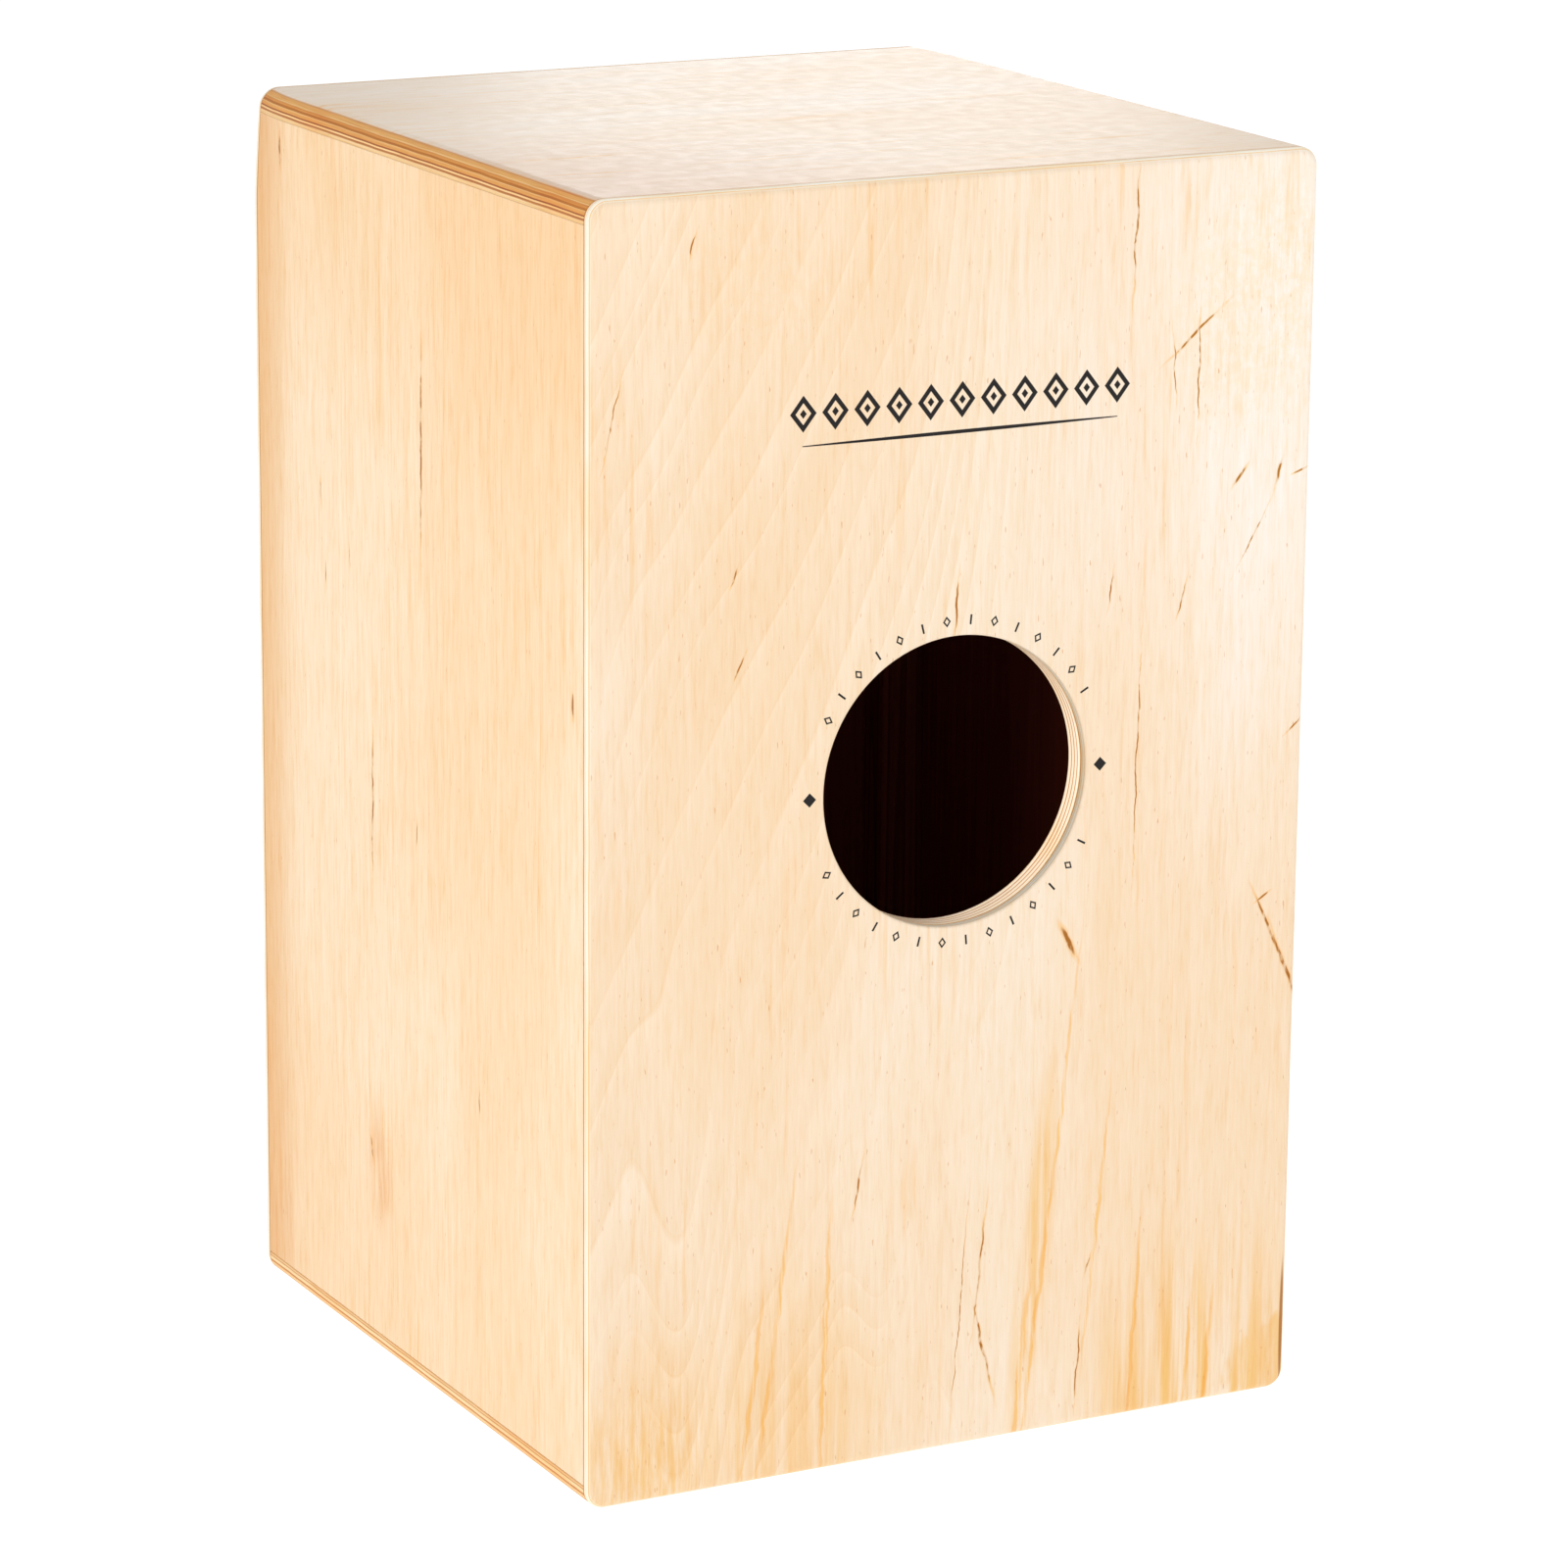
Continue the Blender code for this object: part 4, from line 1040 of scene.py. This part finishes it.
def ring_birch():
    g = Graph("birch_hole_ring")
    depth = g.minus(RING_HIGH.y, g.y)
    fine = g.noise(g.place, (40.0, 1200.0, 40.0), 91.0, detail=3.0)
    colour = plies(g, depth, RING_HIGH.y - RING_LOW.y, RING_LAYERS, 90.0)
    g.bump(fine, 0.00004)
    return g.finish(colour, g.span(fine, 0.3, 0.7, 0.45, 0.60))


def inside_birch():
    """The inside faces, darkened to red-brown: painted shade for the inside of the box."""
    g = Graph("birch_inside_painted_shade")
    grain = g.noise(g.place, (500.0, 500.0, 14.0), 44.0, detail=3.0, roughness=0.6)
    cloud = g.noise(g.place, (12.0, 12.0, 3.0), 45.0)
    colour = g.mix(g.span(grain, 0.3, 0.7, smooth=False), srgb(140, 62, 44), srgb(164, 84, 62))
    colour = g.mix(g.span(cloud, 0.4, 0.65, 0.0, 0.6), colour, srgb(132, 58, 42))
    g.bump(grain, 0.00008)
    return g.finish(colour, g.span(grain, 0.3, 0.7, 0.62, 0.78), specular_ior_level=0.12)


def spruce(name, long_axis, seed):
    """Softwood darkened to red-brown, its grain along this axis: painted shade for the inside of the box."""
    g = Graph(name)
    grain_scale, band_scale = [420.0] * 3, [90.0] * 3
    grain_scale[long_axis], band_scale[long_axis] = 7.0, 2.0
    grain = g.noise(g.place, grain_scale, seed, detail=2.0)
    bands = g.math("FRACT", g.times(g.noise(g.place, band_scale, seed + 2, detail=1.0), 7.0))
    colour = g.ramp(
        bands,
        [
            (0.00, srgb(160, 84, 60)),
            (0.55, srgb(152, 76, 54)),
            (0.90, srgb(120, 52, 36)),
            (1.00, srgb(158, 80, 58)),
        ],
    )
    colour = g.mix(g.span(grain, 0.35, 0.7, 0.0, 0.5), colour, srgb(128, 58, 40))
    g.bump(grain, 0.0001)
    return g.finish(colour, g.span(grain, 0.3, 0.7, 0.55, 0.72), specular_ior_level=0.15)


def bright_steel():
    g = Graph("snare_steel_drawn")
    drawn = g.noise(g.place, (900.0, 900.0, 120.0), 12.0, detail=3.0)
    colour = g.mix(g.span(drawn, 0.35, 0.65), srgb(176, 176, 178), srgb(206, 206, 206))
    g.bump(drawn, 0.00001)
    return g.finish(colour, g.span(drawn, 0.3, 0.7, 0.20, 0.36), metallic=1.0)


def black_steel():
    g = Graph("screw_steel_blackened")
    worn = g.noise(g.place, (800.0, 800.0, 800.0), 15.0, detail=4.0)
    colour = g.mix(g.span(worn, 0.58, 0.72, 0.0, 0.7), srgb(34, 33, 34), srgb(86, 84, 84))
    g.bump(worn, 0.00002)
    return g.finish(colour, g.span(worn, 0.3, 0.7, 0.46, 0.30), metallic=1.0)


def black_rubber():
    g = Graph("foot_rubber")
    speckle = g.noise(g.place, (1600.0, 1600.0, 1600.0), 17.0, detail=3.0)
    dust = g.noise(g.place, (90.0, 90.0, 90.0), 18.0, detail=3.0)
    colour = g.mix(g.span(dust, 0.45, 0.75, 0.0, 0.5), srgb(26, 26, 27), srgb(58, 57, 56))
    g.bump(speckle, 0.00006)
    return g.finish(colour, g.span(speckle, 0.3, 0.7, 0.62, 0.80))


# -------- studio --------


def make_floor():
    """A wide, pale, softly glowing studio floor."""
    bm = bmesh.new()
    bm.faces.new([bm.verts.new((24 * x, 24 * y, 0)) for x, y, _ in circle(1.0, 0, 48)])
    floor = bpy.data.objects.new("studio_floor", finish_mesh("studio_floor", bm))
    bpy.context.scene.collection.objects.link(floor)
    material = bpy.data.materials.new("studio_floor")
    material.use_nodes = True
    shader = material.node_tree.nodes["Principled BSDF"]
    shader.inputs["Base Color"].default_value = (0.34, 0.34, 0.34, 1)
    shader.inputs["Roughness"].default_value = 0.9
    shader.inputs["Specular IOR Level"].default_value = 0.0
    shader.inputs["Emission Color"].default_value = (1, 1, 1, 1)
    shader.inputs["Emission Strength"].default_value = 0.88
    floor.data.materials.append(material)


def make_world():
    world = bpy.data.worlds.new("studio")
    world.use_nodes = True
    sky = world.node_tree.nodes["Background"]
    sky.inputs["Color"].default_value = (1.0, 1.0, 1.0, 1)
    sky.inputs["Strength"].default_value = 0.58
    bpy.context.scene.world = world


def softbox(name, place, target, size, watts, diffuse=True, glossy=True, only=None):
    """A square lamp that the camera doesn't see. Only is the one piece it lights, if not everything."""
    light = bpy.data.lights.new(name, "AREA")
    light.shape = "SQUARE"
    light.size = size
    light.energy = watts
    obj = bpy.data.objects.new(name, light)
    bpy.context.scene.collection.objects.link(obj)
    obj.location = place
    obj.rotation_mode = "QUATERNION"
    obj.rotation_quaternion = (Vector(target) - Vector(place)).to_track_quat("-Z", "Y")
    obj.visible_camera = False
    obj.visible_diffuse = diffuse
    obj.visible_glossy = glossy
    if only:
        lit = bpy.data.collections.new(name + "_lit")
        lit.objects.link(only)
        obj.light_linking.receiver_collection = lit


def make_camera():
    """The photograph's camera, as solved from the corners of the box."""
    a, drop, roll = map(math.radians, (CAMERA_AZIMUTH, CAMERA_DROP, CAMERA_ROLL))
    forward = Vector((-math.sin(a) * math.cos(drop), math.cos(a) * math.cos(drop), -math.sin(drop)))
    level = forward.cross(Vector((0, 0, 1))).normalized()
    up = level.cross(forward)
    right = level * math.cos(roll) + up * math.sin(roll)
    over = up * math.cos(roll) - level * math.sin(roll)
    data = bpy.data.cameras.new("camera")
    data.lens = CAMERA_LENS
    data.sensor_width = 36
    data.shift_y = CAMERA_SHIFT
    data.clip_end = 60
    camera = bpy.data.objects.new("camera", data)
    bpy.context.scene.collection.objects.link(camera)
    turn = Matrix((right, over, -forward)).transposed()
    camera.matrix_world = Matrix.Translation(CAMERA_PLACE) @ turn.to_4x4()
    bpy.context.scene.camera = camera


# -------- assembly --------


def build_box(inside, screws):
    for name, upper in (("top_board", True), ("bottom_board", False)):
        end_board(name, upper, [end_birch(upper), inside])
    for side_name, side in SIDES:
        side_board("side_board_" + side_name, side, [side_birch(side), inside])
    back_panel([back_panel_birch(), inside])
    sound_hole_ring([ring_birch()])
    front_plate(screws, [front_plate_birch(), inside])


def build_inside():
    along_x = spruce("spruce_cross", 0, 30.0)
    along_z = spruce("spruce_upright", 2, 36.0)
    for prefix in ("front_batten_", "back_batten_"):
        for end in ("top", "bottom"):
            batten(prefix + end, [along_x])
        for side_name, _ in SIDES:
            batten(prefix + side_name, [along_z])
    batten("snare_rail", [along_x])
    steel = bright_steel()
    for side_name, _ in SIDES:
        snare_set("snare_wires_" + side_name, [steel])


def build_screws():
    """Each kind of screw is one mesh, put at every CAD screw of its kind."""
    black = black_steel()
    kinds = (
        ("plate_screw_", 1, -1, PLATE_SHANK, True),
        ("rail_screw_", 1, 1, RAIL_SHANK, True),
        ("snare_screw_", 1, -1, SNARE_SHANK, False),
        ("foot_screw_", 2, -1, FOOT_SHANK, False),
    )
    for prefix, axis, toward, shank, flat in kinds:
        mesh = None
        for node in screw_nodes(prefix):
            place, head, length = node_screw(node, axis, toward)
            pan = 0.0 if flat else PAN_HEAD
            if mesh is None:
                mesh = screw_mesh(prefix + "mesh", head, shank, length - pan, flat)
            place[axis] -= toward * pan
            direction = [0, 0, 0]
            direction[axis] = -toward
            stand_screw(node, mesh, place, direction, black, "black_steel")


def main():
    bpy.context.scene.view_settings.view_transform = "Standard"
    make_camera()
    make_world()
    make_floor()
    middle = (0, 0, BODY_MIDDLE)
    softbox("key", (-1.2, 2.6, 2.4), middle, 1.6, 28, glossy=False)
    softbox("fill", (2.8, 2.0, 1.2), middle, 1.6, 28, glossy=False)
    softbox("glow", (-1.32, -2.4, 0.79), (0, 0, BODY_TOP), 0.60, 4.4, diffuse=False)

    inside = inside_birch()
    screws = []
    for node in screw_nodes("plate_screw_"):
        place, head, _ = node_screw(node, 1, -1)
        screws.append((place, head, PLATE_SHANK))
    build_box(inside, screws)
    ring = bpy.data.objects["sound_hole_ring_plywood"]
    softbox("hole_fill", (2.8, 1.6, 1.2), (0, BACK, HOLE_Z), 1.2, 74, glossy=False, only=ring)
    build_inside()
    build_screws()
    rubber = black_rubber()
    for node in screw_nodes("foot_front") + screw_nodes("foot_back"):
        rubber_foot(node, [rubber])


main()
